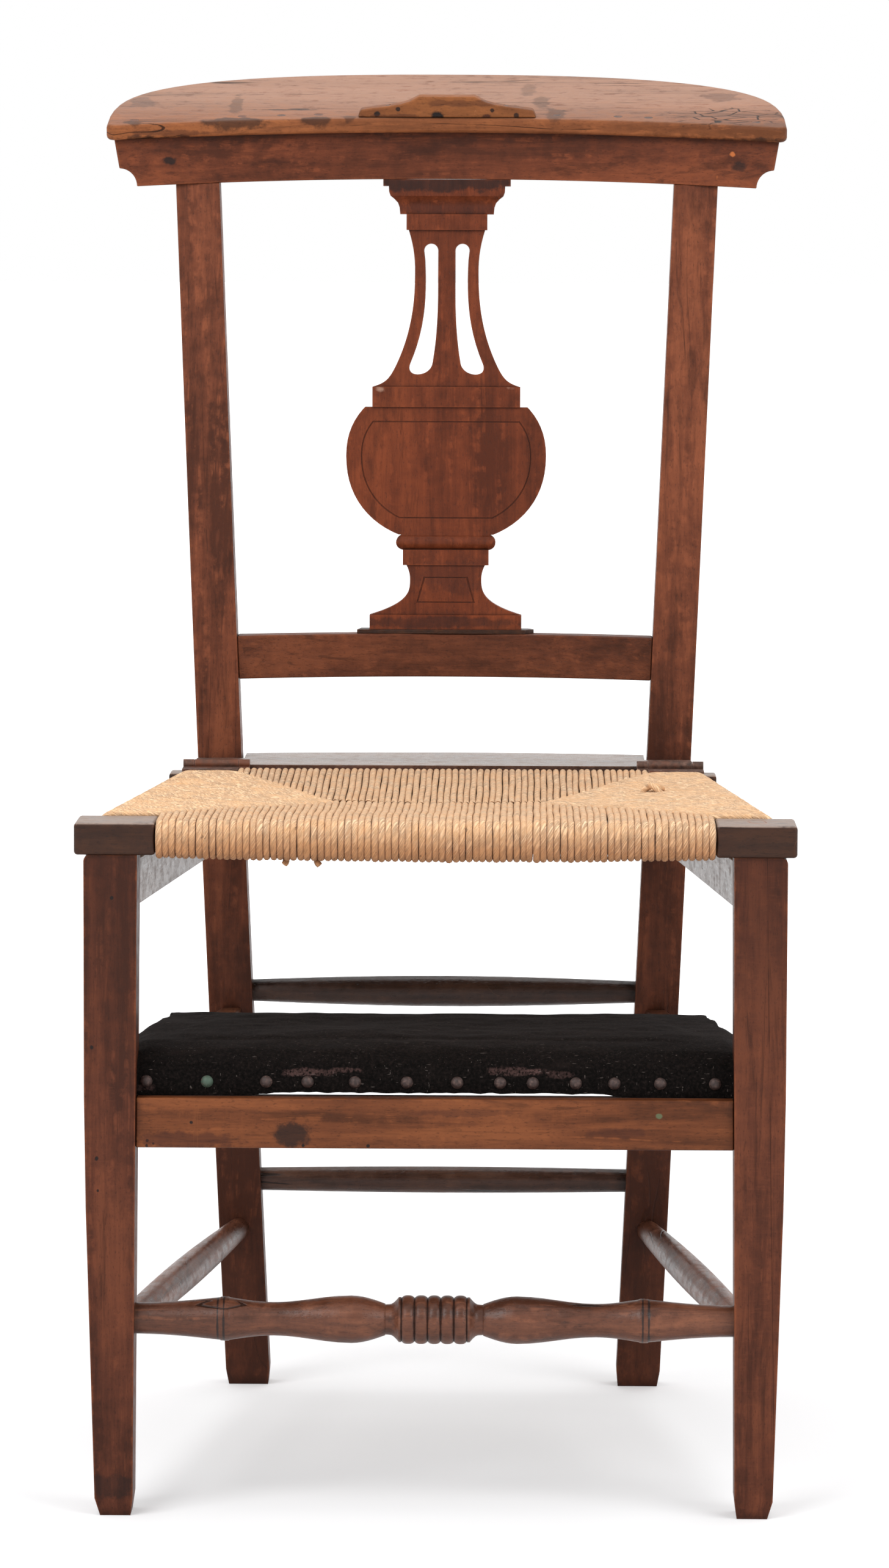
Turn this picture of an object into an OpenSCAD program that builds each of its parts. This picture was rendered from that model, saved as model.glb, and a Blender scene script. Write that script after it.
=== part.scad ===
// Church chair with a kneeler: the corded seat lifts on two hinges and uncovers the kneeling pad.
// Frame: +X to the sitter's left, +Y to the back, +Z up, origin under the middle on the floor.
// Inside the modules, depths are counted from the front face of the seat; placed() centres them.

/* [Seat] */
// Height of the seat frame's top face
seat_h = 458; // [400:1:500]
// Width of the front rail over its bare ends
seat_front_w = 470; // [440:1:500]
// Width of the rear rail over its bare ends
seat_rear_w = 384; // [360:1:400]
// Depth of the seat frame, front face to back face
seat_d = 366; // [330:1:400]
// Thickness of the seat frame
seat_t = 21; // [18:0.5:25]
// Depth of the front rail
seat_front_rail_d = 50; // [40:1:60]
// Depth of the rear rail
seat_rear_rail_d = 26; // [22:1:32]
// Length of a bare end of the front rail
seat_front_bare_w = 53; // [46:1:60]
// Length of a bare end of the rear rail
seat_rear_bare_w = 48; // [46:0.5:54]
// Width of the side rails under the cord
seat_side_rail_w = 26; // [20:1:30]
// Diameter of the paper cord
cord_d = 4.4; // [3:0.1:6]
// How far the cord stands above the bare ends
cord_proud = 2.6; // [1.5:0.1:3.5]

/* [Hinges] */
// Length of a hinge barrel
hinge_w = 47; // [40:1:50]
// Width of the leaf on the ledge, and of its knuckle
hinge_leaf_w = 31; // [24:1:34]
// Length of the leaf on the ledge
hinge_leaf_l = 30; // [24:1:34]
// Length of the leaf on the seat rail
hinge_seat_leaf_l = 21; // [16:1:24]
// Thickness of a hinge leaf
hinge_leaf_t = 2; // [1.5:0.1:2.5]
// Radius of a hinge knuckle
knuckle_r = 3; // [2.5:0.1:3.5]
// Radius of the hinge pin
pin_r = 1.4; // [1:0.1:1.6]
// Distance from the seat's rear corner to the middle of a hinge
hinge_inset = 32; // [30:0.5:36]
// Diameter of a hinge screw's head
screw_head_d = 6; // [5:0.1:7]
// Diameter of a hinge screw's shank
screw_d = 3; // [2:0.1:4]
// Length of a hinge screw
screw_l = 13; // [9:1:16]

/* [Front legs] */
// How far a front leg stands inside the end of the seat's front rail
leg_inset = 6; // [2:0.5:12]
// Width of a front leg at the top
leg_top_w = 35; // [30:0.5:40]
// Width of a front leg at the foot
leg_foot_w = 24.5; // [20:0.5:30]
// Depth of a front leg at the top
leg_d = 37; // [32:1:44]
// Depth of a front leg at the foot
leg_foot_d = 31; // [26:1:36]
// How far the front legs stand behind the front of the seat
leg_setback = 4; // [2:0.5:8]
// How far the outer face of a leg draws in at the foot
leg_draw_in = 7; // [4:0.5:10]
// Radius of the worn outer shoulder of a leg
leg_shoulder_r = 4; // [2:0.5:6]

/* [Back posts] */
// How far a post stands inside the end of the seat's rear rail, at the seat
post_inset = 16; // [12:0.5:20]
// Width of a post at the foot
post_foot_w = 31.5; // [28:0.5:36]
// Width of a post at the top
post_top_w = 31; // [27:0.5:35]
// Depth of a post at the seat
post_d = 30; // [26:1:36]
// Depth of a post at the foot and at the top
post_end_d = 25; // [22:1:30]
// How far a post draws in from the seat to the floor
post_draw_in = 19; // [8:0.5:26]
// How far a post spreads from the seat to the crest
post_spread = 17; // [6:0.5:24]
// How far the posts rake back at the foot
post_foot_rake = 35; // [20:1:45]
// How far the posts rake back at the top
post_top_rake = 25; // [15:1:40]

/* [Crest and arm board] */
// Height from the seat to the crest rail's lower edge at its middle
back_h = 415; // [380:1:440]
// Height of the crest rail
crest_rail_h = 34; // [28:1:40]
// Width of the crest rail
crest_w = 472; // [450:1:500]
// Thickness of the crest rail
crest_t = 24; // [20:1:30]
// How far the crest rail bows back
crest_bow = 29; // [20:1:34]
// Radius of the notch in each lower corner of the crest rail
crest_notch_r = 13; // [8:0.5:16]
// Slope of the arm board
board_slope = 13; // [8:0.5:18]
// How far the arm board stands past each end of the crest rail
board_side = 5; // [3:0.5:16]
// Depth of the arm board at its middle
board_d = 146; // [120:1:180]
// Thickness of the arm board
board_t = 11.5; // [9:0.5:16]
// How far the arm board stands in front of the crest rail
board_overhang = 3; // [1:0.5:6]
// Radius of the arm board's front corners in plan
board_corner_r = 6; // [3:0.5:9]
// Width of the book lip
lip_w = 127; // [100:1:150]
// Height of the book lip
lip_h = 15.2; // [10:0.2:20]
// Thickness of the book lip
lip_t = 9; // [6:0.5:12]

/* [Splat and lower back rail] */
// Gap between the hinge ledge and the lower back rail
low_rail_gap = 56; // [40:1:76]
// Height of the lower back rail
low_rail_h = 31; // [25:1:38]
// Thickness of the lower back rail
low_rail_t = 20; // [16:1:26]
// How far the lower back rail bows back
low_rail_bow = 28; // [20:1:34]
// Thickness of the splat
splat_t = 12; // [9:0.5:15]
// Width of the splat's urn
urn_w = 143.4; // [130:0.2:156]
// Height of the whole oval that the urn is cut from
urn_h = 117.5; // [104:0.5:130]
// Width of the splat's cap
splat_cap_w = 91; // [84:0.5:98]
// Width of the splat's neck at its narrowest
splat_neck_w = 45.4; // [43:0.2:52]
// Width of the block between neck and urn
splat_shoulder_w = 106; // [100:0.5:112]
// Width of the splat's base
splat_base_w = 109; // [100:0.5:118]
// How far the mouldings stand in front of the splat
splat_mould = 3; // [1.5:0.1:4.5]
// Width of the shim under the splat
shim_w = 127; // [115:1:140]
// Thickness of the shim under the splat
shim_h = 3; // [2:0.1:4]

/* [Kneeler] */
// Height of the front kneeler rail's top face
kneel_rail_z = 277; // [240:1:300]
// Height of the kneeler rails
kneel_rail_h = 33; // [26:1:40]
// Thickness of the front kneeler rail
kneel_rail_t = 20; // [16:1:24]
// Thickness of the side kneeler rails
kneel_side_t = 14; // [12:1:18]
// How far the side rails stand above the front rail
kneel_side_rise = 3; // [2:0.5:6]
// Thickness of the kneeler board
kneel_board_t = 11; // [9:0.5:14]
// Depth of the kneeler pad
kneel_pad_d = 197; // [170:1:220]
// Crown of the pad above the board
kneel_pad_crown = 15; // [10:0.5:22]
// Thickness of the cover over the board's edges
kneel_cover_t = 2.5; // [1.5:0.1:3.5]
// Diameter of a tack's head
tack_d = 8.2; // [6:0.2:10]

/* [Stretchers] */
// Height of the front stretcher's axis
front_stretcher_z = 129; // [100:1:160]
// Largest diameter of the front stretcher
front_stretcher_dia = 32; // [26:0.5:34]
// Height of the side stretchers' axes
side_stretcher_z = 117; // [90:1:140]
// Distance from one ring of the front stretcher to the next
ring_pitch = 8.6; // [7:0.1:9]
// Depth of the grooves between the rings
ring_groove = 1.7; // [0.8:0.1:2.2]
// Diameter of the side stretchers at their middle
side_stretcher_dia = 22; // [18:0.5:24]
// Height of the upper back stretcher's axis
upper_stretcher_z = 291; // [270:1:320]
// Diameter of the upper back stretcher at its middle
upper_stretcher_dia = 22; // [17:0.5:23]
// Height of the lower back stretcher's axis
lower_stretcher_z = 152; // [140:1:180]
// Diameter of the lower back stretcher at its middle
lower_stretcher_dia = 19; // [15:0.5:20]

/* [Rails under the seat] */
// Height of the side aprons
apron_h = 31; // [24:1:38]
// Thickness of the side aprons
apron_t = 14; // [11:1:17]
// Height of the rear seat rail
rear_rail_h = 40; // [30:1:46]
// Thickness of the rear seat rail
rear_rail_t = 22; // [18:1:26]
// Thickness of the hinge ledge
ledge_t = 13; // [10:1:16]
// How far the ledge stands above the seat frame
ledge_step = 3; // [2.5:0.1:5]
// Depth of the ledge in front of the posts
ledge_nose = 50; // [46:0.5:60]
// Depth of the ledge at its middle
ledge_d = 100; // [90:1:110]
// How far the ledge's back edge bows
ledge_bow = 12; // [6:1:18]

/* [Hidden] */
left = -1;
right = 1;
steps = 24;
$fn = 48;
arc_fn = 720;
// Clearances, and the overrun of the cuts
seat_gap = 0.3;
fit = 0.1;
pin_play = 0.05;
over = 60;
// Tenons, and the round ends of the turned stretchers
tenon_l = 12;
tenon_t = 8;
tenon_shoulder = 3;
round_tenon_r = 5.5;
// Worn feet
foot_bevel = 3;
foot_bevel_h = 12;
// How the legs and posts curve
rake_power = 1.5;
leg_curve_z_share = 0.69;
leg_curve_power = 1.6;

// Shapes and places that several pieces share

function bow_radius(half, bow) = (half * half + bow * bow) / (2 * bow);
function arc_drop(r, x) = r - sqrt(r * r - x * x);
function ease(t) = (1 - cos(180 * t)) / 2;
// How a curve goes from one station to the next: quick at first, slow at first, even, or slow at both
function sweep(t, form) = form == "quick" ? sin(90 * t) : form == "slow" ? 1 - cos(90 * t)
    : form == "even" ? t : ease(t);
// Smooth line through stations of [place, size, form], with n points from one to the next
function smooth_line(stations, n) = concat(
    [for (i = [0 : len(stations) - 2], k = [0 : n - 1])
        let (a = stations[i], b = stations[i + 1], t = k / n)
        [a[0] + (b[0] - a[0]) * t, a[1] + (b[1] - a[1]) * sweep(t, b[2])]],
    [[stations[len(stations) - 1][0], stations[len(stations) - 1][1]]]);
function mirrored(points) = [for (i = [len(points) - 1 : -1 : 0]) [-points[i][0], points[i][1]]];

seat_bottom = seat_h - seat_t;
crest_h = seat_h + back_h;
board_w = crest_w + 2 * board_side;
leg_span = seat_front_w - 2 * leg_inset;
leg_top = seat_bottom - seat_gap;
leg_curve_z = leg_top * leg_curve_z_share;
leg_foot_x = leg_span / 2 - leg_draw_in;
ledge_top = seat_h + ledge_step;
cord_recess = cord_d - cord_proud;
hinge_x = seat_rear_w / 2 - hinge_inset;
hinge_z = ledge_top + hinge_leaf_t / 2;
hinge_y = seat_d + cord_proud + seat_gap + knuckle_r;
ledge_front = hinge_y + knuckle_r + seat_gap;
post_setback = ledge_front + ledge_nose;
low_rail_z = ledge_top + low_rail_gap;
apron_drop = 3;
apron_top = seat_bottom - cord_proud - apron_drop;

function below_share(z) = max(0, (seat_h - z) / seat_h);
function above_share(z) = max(0, (z - seat_h) / (crest_h - seat_h));
function post_front(z) = post_setback
    + post_foot_rake * pow(below_share(z), rake_power)
    + post_top_rake * pow(above_share(z), rake_power);
function post_depth(z) = post_d - (post_d - post_end_d) * (below_share(z) + above_share(z));
function post_back(z) = post_front(z) + post_depth(z);
function post_outer(z) = seat_rear_w / 2 - post_inset
    - post_draw_in * below_share(z) + post_spread * above_share(z);
function post_inner(z) = post_outer(z) - post_foot_w - (post_top_w - post_foot_w) * z / crest_h;
function post_mid_x(z) = (post_outer(z) + post_inner(z)) / 2;
function post_mid_y(z) = (post_front(z) + post_back(z)) / 2;
function leg_outer(z) = leg_span / 2
    - leg_draw_in * pow(max(0, (leg_curve_z - z) / leg_curve_z), leg_curve_power);
function leg_inner(z) = leg_foot_x - leg_foot_w
    + (leg_span / 2 - leg_top_w - leg_foot_x + leg_foot_w) * z / leg_top;
function leg_mid_x(z) = (leg_outer(z) + leg_inner(z)) / 2;
function leg_back(z) = leg_setback + leg_foot_d + (leg_d - leg_foot_d) * z / leg_top;
function leg_mid_y(z) = (leg_setback + leg_back(z)) / 2;

crest_cover = 2;
crest_r = bow_radius(crest_w / 2, crest_bow);
crest_mid_y = post_front(crest_h) - crest_cover + arc_drop(crest_r, post_mid_x(crest_h));
board_back_y = crest_mid_y + (board_d - board_overhang) * cos(board_slope)
    - crest_rail_h * sin(board_slope);
depth_mid = (board_back_y - cord_proud) / 2;

// The chair stands with the middle of its length over the origin
module placed() {
    translate([0, -depth_mid, 0]) children();
}
module on_side(side) {
    if (side < 0) mirror([1, 0, 0]) children();
    else children();
}
// An outline of [depth, height], run across the chair
module across(w) {
    rotate([90, 0, 90]) linear_extrude(w, center = true) children();
}
// An outline of [x, height], run from front to back
module along(y0, y1) {
    translate([0, y1, 0]) rotate([90, 0, 0]) linear_extrude(y1 - y0) children();
}
module block(x0, x1, y0, y1, z0, z1) {
    translate([x0, y0, z0]) cube([x1 - x0, y1 - y0, z1 - z0]);
}
// A bar between two places in plan, with its ends square to the chair
module plan_bar(x0, y0, x1, y1, w, z0, z1) {
    translate([0, 0, z0]) linear_extrude(z1 - z0)
        polygon([[x0 - w / 2, y0], [x0 + w / 2, y0], [x1 + w / 2, y1], [x1 - w / 2, y1]]);
}
// A round bar's place and direction in plan
module rod_frame(x0, y0, x1, y1, z) {
    translate([x0, y0, z]) rotate([0, 0, -atan2(x1 - x0, y1 - y0)]) rotate([-90, 0, 0]) children();
}
// Everything above a plane that slopes as the arm board does
module board_frame(up) {
    translate([0, crest_mid_y, crest_h]) rotate([board_slope, 0, 0]) translate([0, 0, up]) children();
}
// A turned bar from its middle outwards, given as [place, radius]
module turned(points) {
    rotate([0, 90, 0]) rotate_extrude()
        polygon(concat([[0, -points[len(points) - 1][0]]],
            [for (p = mirrored(points)) [p[1], p[0]]], [for (p = points) [p[1], p[0]]],
            [[0, points[len(points) - 1][0]]]));
}

// Front legs

shoulder_steps = 6;
module front_leg_plain() {
    low = foot_bevel_h;
    intersection() {
        along(leg_setback - over, leg_setback + leg_d + over) polygon(concat(
            [[leg_inner(0) + foot_bevel / 2, 0], [leg_outer(0) - foot_bevel, 0]],
            [for (i = [0 : steps / 2]) let (z = low + (leg_curve_z - low) * 2 * i / steps)
                [leg_outer(z), z]],
            [for (i = [0 : shoulder_steps]) let (a = 90 * i / shoulder_steps)
                [leg_span / 2 - leg_shoulder_r * (1 - cos(a)), leg_top - leg_shoulder_r * (1 - sin(a))]],
            [[leg_inner(leg_top), leg_top], [leg_inner(low), low]]));
        across(leg_span + over) polygon([[leg_setback + foot_bevel, 0], [leg_setback, low],
            [leg_setback, leg_top], [leg_back(leg_top), leg_top], [leg_back(low), low],
            [leg_back(0) - foot_bevel, 0]]);
    }
}
module front_leg(side) {
    color("#5f3726") placed() on_side(side) difference() {
        front_leg_plain();
        kneeler_front_tenon(fit);
        kneeler_side_tenons(fit);
        apron_tenons(fit);
        front_stretcher_tenon(fit);
        side_stretcher_tenon(fit);
    }
}
module front_leg_left() front_leg(left);
module front_leg_right() front_leg(right);

// Back posts

module post_plain() {
    low = foot_bevel_h;
    top = crest_h + crest_rail_h;
    intersection() {
        across(crest_w + over) polygon(concat(
            [[post_front(0) + foot_bevel, 0]],
            [for (i = [0 : steps]) let (z = low + (top - low) * i / steps) [post_front(z), z]],
            [for (i = [steps : -1 : 0]) let (z = low + (top - low) * i / steps) [post_back(z), z]],
            [[post_back(0) - foot_bevel, 0]]));
        along(post_setback - over, post_setback + over + over) polygon([
            [post_inner(0) + foot_bevel / 2, 0], [post_outer(0) - foot_bevel / 2, 0],
            [post_outer(low), low], [post_outer(top), top], [post_inner(top), top],
            [post_inner(low), low]]);
    }
}
post_tenon_w_share = 0.6;
module post_tenon(play) {
    y = post_mid_y(crest_h);
    x = post_mid_x(crest_h);
    w = post_top_w * post_tenon_w_share;
    block(x - w / 2 - play, x + w / 2 + play, y - tenon_t / 2 - play, y + tenon_t / 2 + play,
        crest_h - tenon_l, crest_h + tenon_l + play);
}
module back_post(side) {
    color("#5f3726") placed() on_side(side) difference() {
        union() {
            difference() {
                post_plain();
                board_frame(0) translate([0, -over, 0]) cube([crest_w, 3 * over, 2 * over]);
            }
            post_tenon(0);
        }
        kneeler_side_tenons(fit);
        apron_tenons(fit);
        side_stretcher_tenon(fit);
        back_stretcher_tenon(upper_stretcher_z, fit);
        back_stretcher_tenon(lower_stretcher_z, fit);
        rear_rail_tenon(fit);
        low_rail_tenon(fit);
    }
}
module back_post_left() back_post(left);
module back_post_right() back_post(right);

// Aprons, rear rail and hinge ledge

apron_mid_z = apron_top - apron_h / 2;
apron_inset = 0.5;
apron_x0 = leg_inner(apron_mid_z) + apron_t / 2 + apron_inset;
apron_x1 = post_mid_x(apron_mid_z);
ledge_bottom = ledge_top - ledge_t;
ledge_clear = 2;
rear_rail_inset = 6;
module apron_tenons(play) {
    slope = (apron_x1 - apron_x0) / (post_front(apron_mid_z) - leg_back(apron_mid_z));
    y0 = leg_back(apron_mid_z) - tenon_l - play;
    y1 = post_front(apron_mid_z) + tenon_l + play;
    plan_bar(apron_x0 + slope * (y0 - leg_back(apron_mid_z)), y0,
        apron_x0 + slope * (y1 - leg_back(apron_mid_z)), y1, tenon_t + 2 * play,
        apron_top - apron_h + tenon_shoulder - play, apron_top - tenon_shoulder + play);
}
module side_apron(side) {
    z0 = apron_top - apron_h;
    color("#8d8078") placed() on_side(side) union() {
        difference() {
            intersection() {
                plan_bar(apron_x0, leg_back(apron_mid_z), apron_x1, post_front(apron_mid_z),
                    apron_t, z0, ledge_bottom);
                across(leg_span) polygon([[leg_setback, z0], [post_back(z0), z0],
                    [post_back(z0), ledge_bottom], [ledge_front, ledge_bottom],
                    [ledge_front, apron_top], [leg_setback, apron_top]]);
            }
            front_leg_plain();
            post_plain();
        }
        intersection() {
            apron_tenons(0);
            plan_bar(apron_x0, -over, apron_x1, post_setback + 2 * over, leg_span, z0, apron_top);
        }
    }
}
module side_apron_left() side_apron(left);
module side_apron_right() side_apron(right);

module rear_rail_tenon(play) {
    z0 = ledge_bottom - rear_rail_h;
    y = post_front(z0) + rear_rail_inset + rear_rail_t / 2;
    x = post_inner(ledge_bottom) + tenon_l + play;
    block(-x, x, y - tenon_t / 2 - play, y + tenon_t / 2 + play,
        z0 + tenon_shoulder - play, ledge_bottom - tenon_shoulder + play);
}
module rear_seat_rail() {
    z0 = ledge_bottom - rear_rail_h;
    y0 = post_front(z0) + rear_rail_inset;
    x = post_outer(ledge_bottom);
    color("#5a3626") placed() union() {
        difference() {
            block(-x, x, y0, y0 + rear_rail_t, z0, ledge_bottom);
            for (side = [left, right]) on_side(side) post_with_outside();
        }
        rear_rail_tenon(0);
    }
}
// A post and all the room outside it, to end a rail on its inner face
module post_with_outside() {
    top = crest_h;
    along(post_setback - over, post_setback + 3 * over) polygon([[post_inner(0), 0],
        [post_outer(0) + over, 0], [post_outer(top) + over, top], [post_inner(top), top]]);
}

module hinge_ledge() {
    x0 = post_outer(ledge_top);
    x1 = post_inner(ledge_top) - ledge_clear;
    y1 = post_front(ledge_top);
    y2 = ledge_front + ledge_d - ledge_bow;
    r = bow_radius(x1, ledge_bow);
    color("#8a7c74") placed() difference() {
        translate([0, 0, ledge_bottom]) linear_extrude(ledge_t) polygon(concat(
            [[-x1, y1], [-x0, y1], [-x0, ledge_front], [x0, ledge_front], [x0, y1], [x1, y1]],
            [for (i = [steps : -1 : -steps]) let (x = x1 * i / steps)
                [x, y2 + ledge_bow - arc_drop(r, x)]]));
        for (side = [left, right]) on_side(side) {
            post_plain();
            leaf_screws(ledge_screw_y, ledge_top, fit);
        }
    }
}

// Hinges

ledge_screw_share = 0.6;
seat_screw_share = 0.68;
ledge_screw_y = hinge_y + hinge_leaf_l * ledge_screw_share;
seat_screw_y = hinge_y - hinge_seat_leaf_l * seat_screw_share;
screw_spread_share = 0.28;
screw_cone_share = 0.45;
knuckle_gap = 0.2;
// Countersunk screws of one leaf, whose heads lie flush with its top face
module leaf_screws(y, under, play) {
    top = under + hinge_leaf_t;
    cone = screw_head_d * screw_cone_share;
    for (s = [left, right])
        translate([hinge_x + s * hinge_leaf_w * screw_spread_share, y, top]) {
            translate([0, 0, -screw_l - play]) cylinder(h = screw_l, r = screw_d / 2 + play);
            translate([0, 0, -cone]) cylinder(h = cone + play, r1 = screw_d / 2 + play,
                r2 = screw_head_d / 2 + 2 * play);
        }
}
module knuckle(x0, x1) {
    translate([x0, hinge_y, hinge_z]) rotate([0, 90, 0]) cylinder(h = x1 - x0, r = knuckle_r);
}
module hinge_bore() {
    translate([hinge_x - hinge_w, hinge_y, hinge_z]) rotate([0, 90, 0])
        cylinder(h = 2 * hinge_w, r = pin_r + pin_play);
}
module hinge_ledge_leaf(side) {
    x0 = hinge_x - hinge_leaf_w / 2;
    x1 = hinge_x + hinge_leaf_w / 2;
    color("#5e4538") placed() on_side(side) difference() {
        union() {
            knuckle(x0, x1);
            block(x0, x1, hinge_y, hinge_y + hinge_leaf_l, ledge_top, ledge_top + hinge_leaf_t);
        }
        hinge_bore();
        leaf_screws(ledge_screw_y, ledge_top, fit);
    }
}
module hinge_ledge_leaf_left() hinge_ledge_leaf(left);
module hinge_ledge_leaf_right() hinge_ledge_leaf(right);
module hinge_seat_leaf(side) {
    x0 = hinge_x - hinge_w / 2;
    x1 = hinge_x + hinge_w / 2;
    k0 = hinge_x - hinge_leaf_w / 2 - knuckle_gap;
    k1 = hinge_x + hinge_leaf_w / 2 + knuckle_gap;
    plate_x0 = max(x0, seat_rear_w / 2 - seat_rear_bare_w + seat_gap);
    free = hinge_y - knuckle_r - knuckle_gap;
    color("#54402f") placed() on_side(side) difference() {
        union() {
            knuckle(x0, k0);
            knuckle(k1, x1);
            block(plate_x0, x1, hinge_y - hinge_seat_leaf_l, free, seat_h, seat_h + hinge_leaf_t);
            block(x0, k0 + hinge_leaf_t, free - hinge_leaf_t, free, seat_h, seat_h + hinge_leaf_t);
            block(x0, k0, free - hinge_leaf_t, hinge_y, seat_h, seat_h + hinge_leaf_t);
            block(k1, x1, free - hinge_leaf_t, hinge_y, seat_h, seat_h + hinge_leaf_t);
        }
        hinge_bore();
        leaf_screws(seat_screw_y, seat_h, fit);
    }
}
module hinge_seat_leaf_left() hinge_seat_leaf(left);
module hinge_seat_leaf_right() hinge_seat_leaf(right);
module hinge_pins() {
    color("#3f332c") placed() for (side = [left, right]) on_side(side)
        translate([hinge_x - hinge_w / 2, hinge_y, hinge_z]) rotate([0, 90, 0])
            cylinder(h = hinge_w, r = pin_r);
}
module hinge_ledge_screws() {
    color("#3f332c") placed() for (side = [left, right]) on_side(side)
        leaf_screws(ledge_screw_y, ledge_top, 0);
}
module hinge_seat_screws() {
    color("#3f332c") placed() for (side = [left, right]) on_side(side)
        leaf_screws(seat_screw_y, seat_h, 0);
}

// Kneeler

kneel_setback = 4;
kneel_z0 = kneel_rail_z - kneel_rail_h;
kneel_y0 = leg_setback + kneel_setback;
board_z = kneel_rail_z + kneel_side_rise;
side_rail_z0 = board_z - kneel_rail_h;
side_rail_mid = board_z - kneel_rail_h / 2;
side_rail_inset = 3;
side_rail_x0 = leg_inner(side_rail_mid) + kneel_side_t / 2 + side_rail_inset;
side_rail_x1 = post_mid_x(side_rail_mid);
side_rail_y0 = leg_back(side_rail_mid);
side_rail_y1 = post_front(side_rail_mid);
side_rail_slope = (side_rail_x1 - side_rail_x0) / (side_rail_y1 - side_rail_y0);
function side_rail_x(y) = side_rail_x0 + side_rail_slope * (y - side_rail_y0);
module kneeler_front_tenon(play) {
    x = leg_inner(kneel_z0) + tenon_l + play;
    y = kneel_y0 + kneel_rail_t / 2;
    block(-x, x, y - tenon_t / 2 - play, y + tenon_t / 2 + play,
        kneel_z0 + tenon_shoulder - play, kneel_rail_z - tenon_shoulder + play);
}
module kneeler_front_rail() {
    x = leg_inner(0) + foot_bevel;
    color("#a8642f") placed() union() {
        difference() {
            block(-x, x, kneel_y0, kneel_y0 + kneel_rail_t, kneel_z0, kneel_rail_z);
            for (side = [left, right]) on_side(side) leg_with_outside();
        }
        kneeler_front_tenon(0);
    }
}
// A front leg and all the room outside it
module leg_with_outside() {
    along(-over, leg_setback + leg_d + over) polygon([[leg_inner(0), 0],
        [leg_span / 2 + over, 0], [leg_span / 2 + over, leg_top], [leg_inner(leg_top), leg_top]]);
}
module kneeler_side_tenons(play) {
    y0 = side_rail_y0 - tenon_l - play;
    y1 = side_rail_y1 + tenon_l + play;
    plan_bar(side_rail_x(y0), y0, side_rail_x(y1), y1, tenon_t + 2 * play,
        side_rail_z0 + tenon_shoulder - play, board_z - tenon_shoulder + play);
}
module kneeler_side_rail(side) {
    y1 = side_rail_y1 + tenon_l;
    color("#6e4630") placed() on_side(side) union() {
        difference() {
            plan_bar(side_rail_x(leg_setback), leg_setback, side_rail_x(y1), y1,
                kneel_side_t, side_rail_z0, board_z);
            front_leg_plain();
            block(0, leg_span, 0, leg_setback + leg_foot_d, 0, leg_top);
            post_plain();
            block(0, leg_span, post_back(board_z) - tenon_t, post_back(0) + over, 0, leg_top);
        }
        kneeler_side_tenons(0);
    }
}
module kneeler_side_rail_left() kneeler_side_rail(left);
module kneeler_side_rail_right() kneeler_side_rail(right);

pad_set = 10;
pad_front = kneel_y0 + pad_set;
pad_back = pad_front + kneel_pad_d;
pad_leg_gap = 1.5;
pad_rail_inset = 4;
pad_corner_r = 20;
pad_draw_in = 3;
pad_step_y = leg_setback + leg_d + pad_leg_gap;
corner_steps = 5;
edge_steps = 6;
// Half outline of the pad, from the middle of the front round to the middle of the back
function pad_edge_x(y) = side_rail_x(y) + kneel_side_t / 2 - pad_rail_inset;
function pad_half(inset) = let (
        w1 = leg_inner(board_z) - pad_leg_gap - inset,
        y0 = pad_front + inset,
        y1 = pad_step_y + inset,
        y2 = pad_back - inset,
        r = pad_corner_r - inset)
    concat([[w1, y0], [w1, y1]],
        [for (i = [0 : edge_steps]) let (t = i / edge_steps, y = y1 + (y2 - r - y1) * t)
            [pad_edge_x(y) - inset - pad_draw_in * sin(180 * t), y]],
        [for (i = [1 : corner_steps]) let (a = 90 * i / corner_steps)
            [pad_edge_x(y2 - r) - inset - r * (1 - cos(a)), y2 - r * (1 - sin(a))]],
        [for (i = [1 : edge_steps - 1]) let (t = i / edge_steps)
            [(pad_edge_x(y2 - r) - inset - r) * (1 - t), y2 - pad_draw_in * sin(90 * t)]]);
function pad_outline(inset) = concat(pad_half(inset),
    [[0, pad_back - inset - pad_draw_in]], mirrored(pad_half(inset)));
// Rings of the crown: share of the crown's height, and share of the pad's depth that is drawn in
crown_shares = [[0, 0], [0.3, 0.01], [0.6, 0.04], [0.82, 0.1], [0.94, 0.2], [1, 0.34]];
function pad_ring(outline, z, draw) = let (
        cy = (pad_front + pad_back) / 2,
        k = 1 - draw * kneel_pad_d / leg_span)
    [for (p = outline) [p[0] * k, cy + (p[1] - cy) * (1 - 2 * draw), z]];
module kneeler_pad() {
    outline = pad_outline(0);
    n = len(outline);
    low = board_z + seat_gap;
    edge = board_z + kneel_board_t;
    rings = concat([pad_ring(outline, low, 0)],
        [for (s = crown_shares) pad_ring(outline, edge + s[0] * kneel_pad_crown, s[1])]);
    m = len(rings);
    top = [0, (pad_front + pad_back) / 2, edge + kneel_pad_crown];
    points = concat([for (r = rings, p = r) p], [top, [top[0], top[1], low]]);
    faces = concat(
        [for (k = [0 : m - 2], i = [0 : n - 1]) let (j = (i + 1) % n)
            [k * n + i, (k + 1) * n + i, k * n + j]],
        [for (k = [0 : m - 2], i = [0 : n - 1]) let (j = (i + 1) % n)
            [(k + 1) * n + i, (k + 1) * n + j, k * n + j]],
        [for (i = [0 : n - 1]) [(m - 1) * n + i, m * n, (m - 1) * n + (i + 1) % n]],
        [for (i = [0 : n - 1]) [i, (i + 1) % n, m * n + 1]]);
    color("#171312") placed() difference() {
        polyhedron(points, faces);
        board_solid();
        tack_shanks(fit);
    }
}
module board_solid() {
    translate([0, 0, board_z]) linear_extrude(kneel_board_t) polygon(pad_outline(kneel_cover_t));
}
module kneeler_board() {
    color("#7a5238") placed() difference() {
        board_solid();
        tack_shanks(fit);
    }
}
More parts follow.
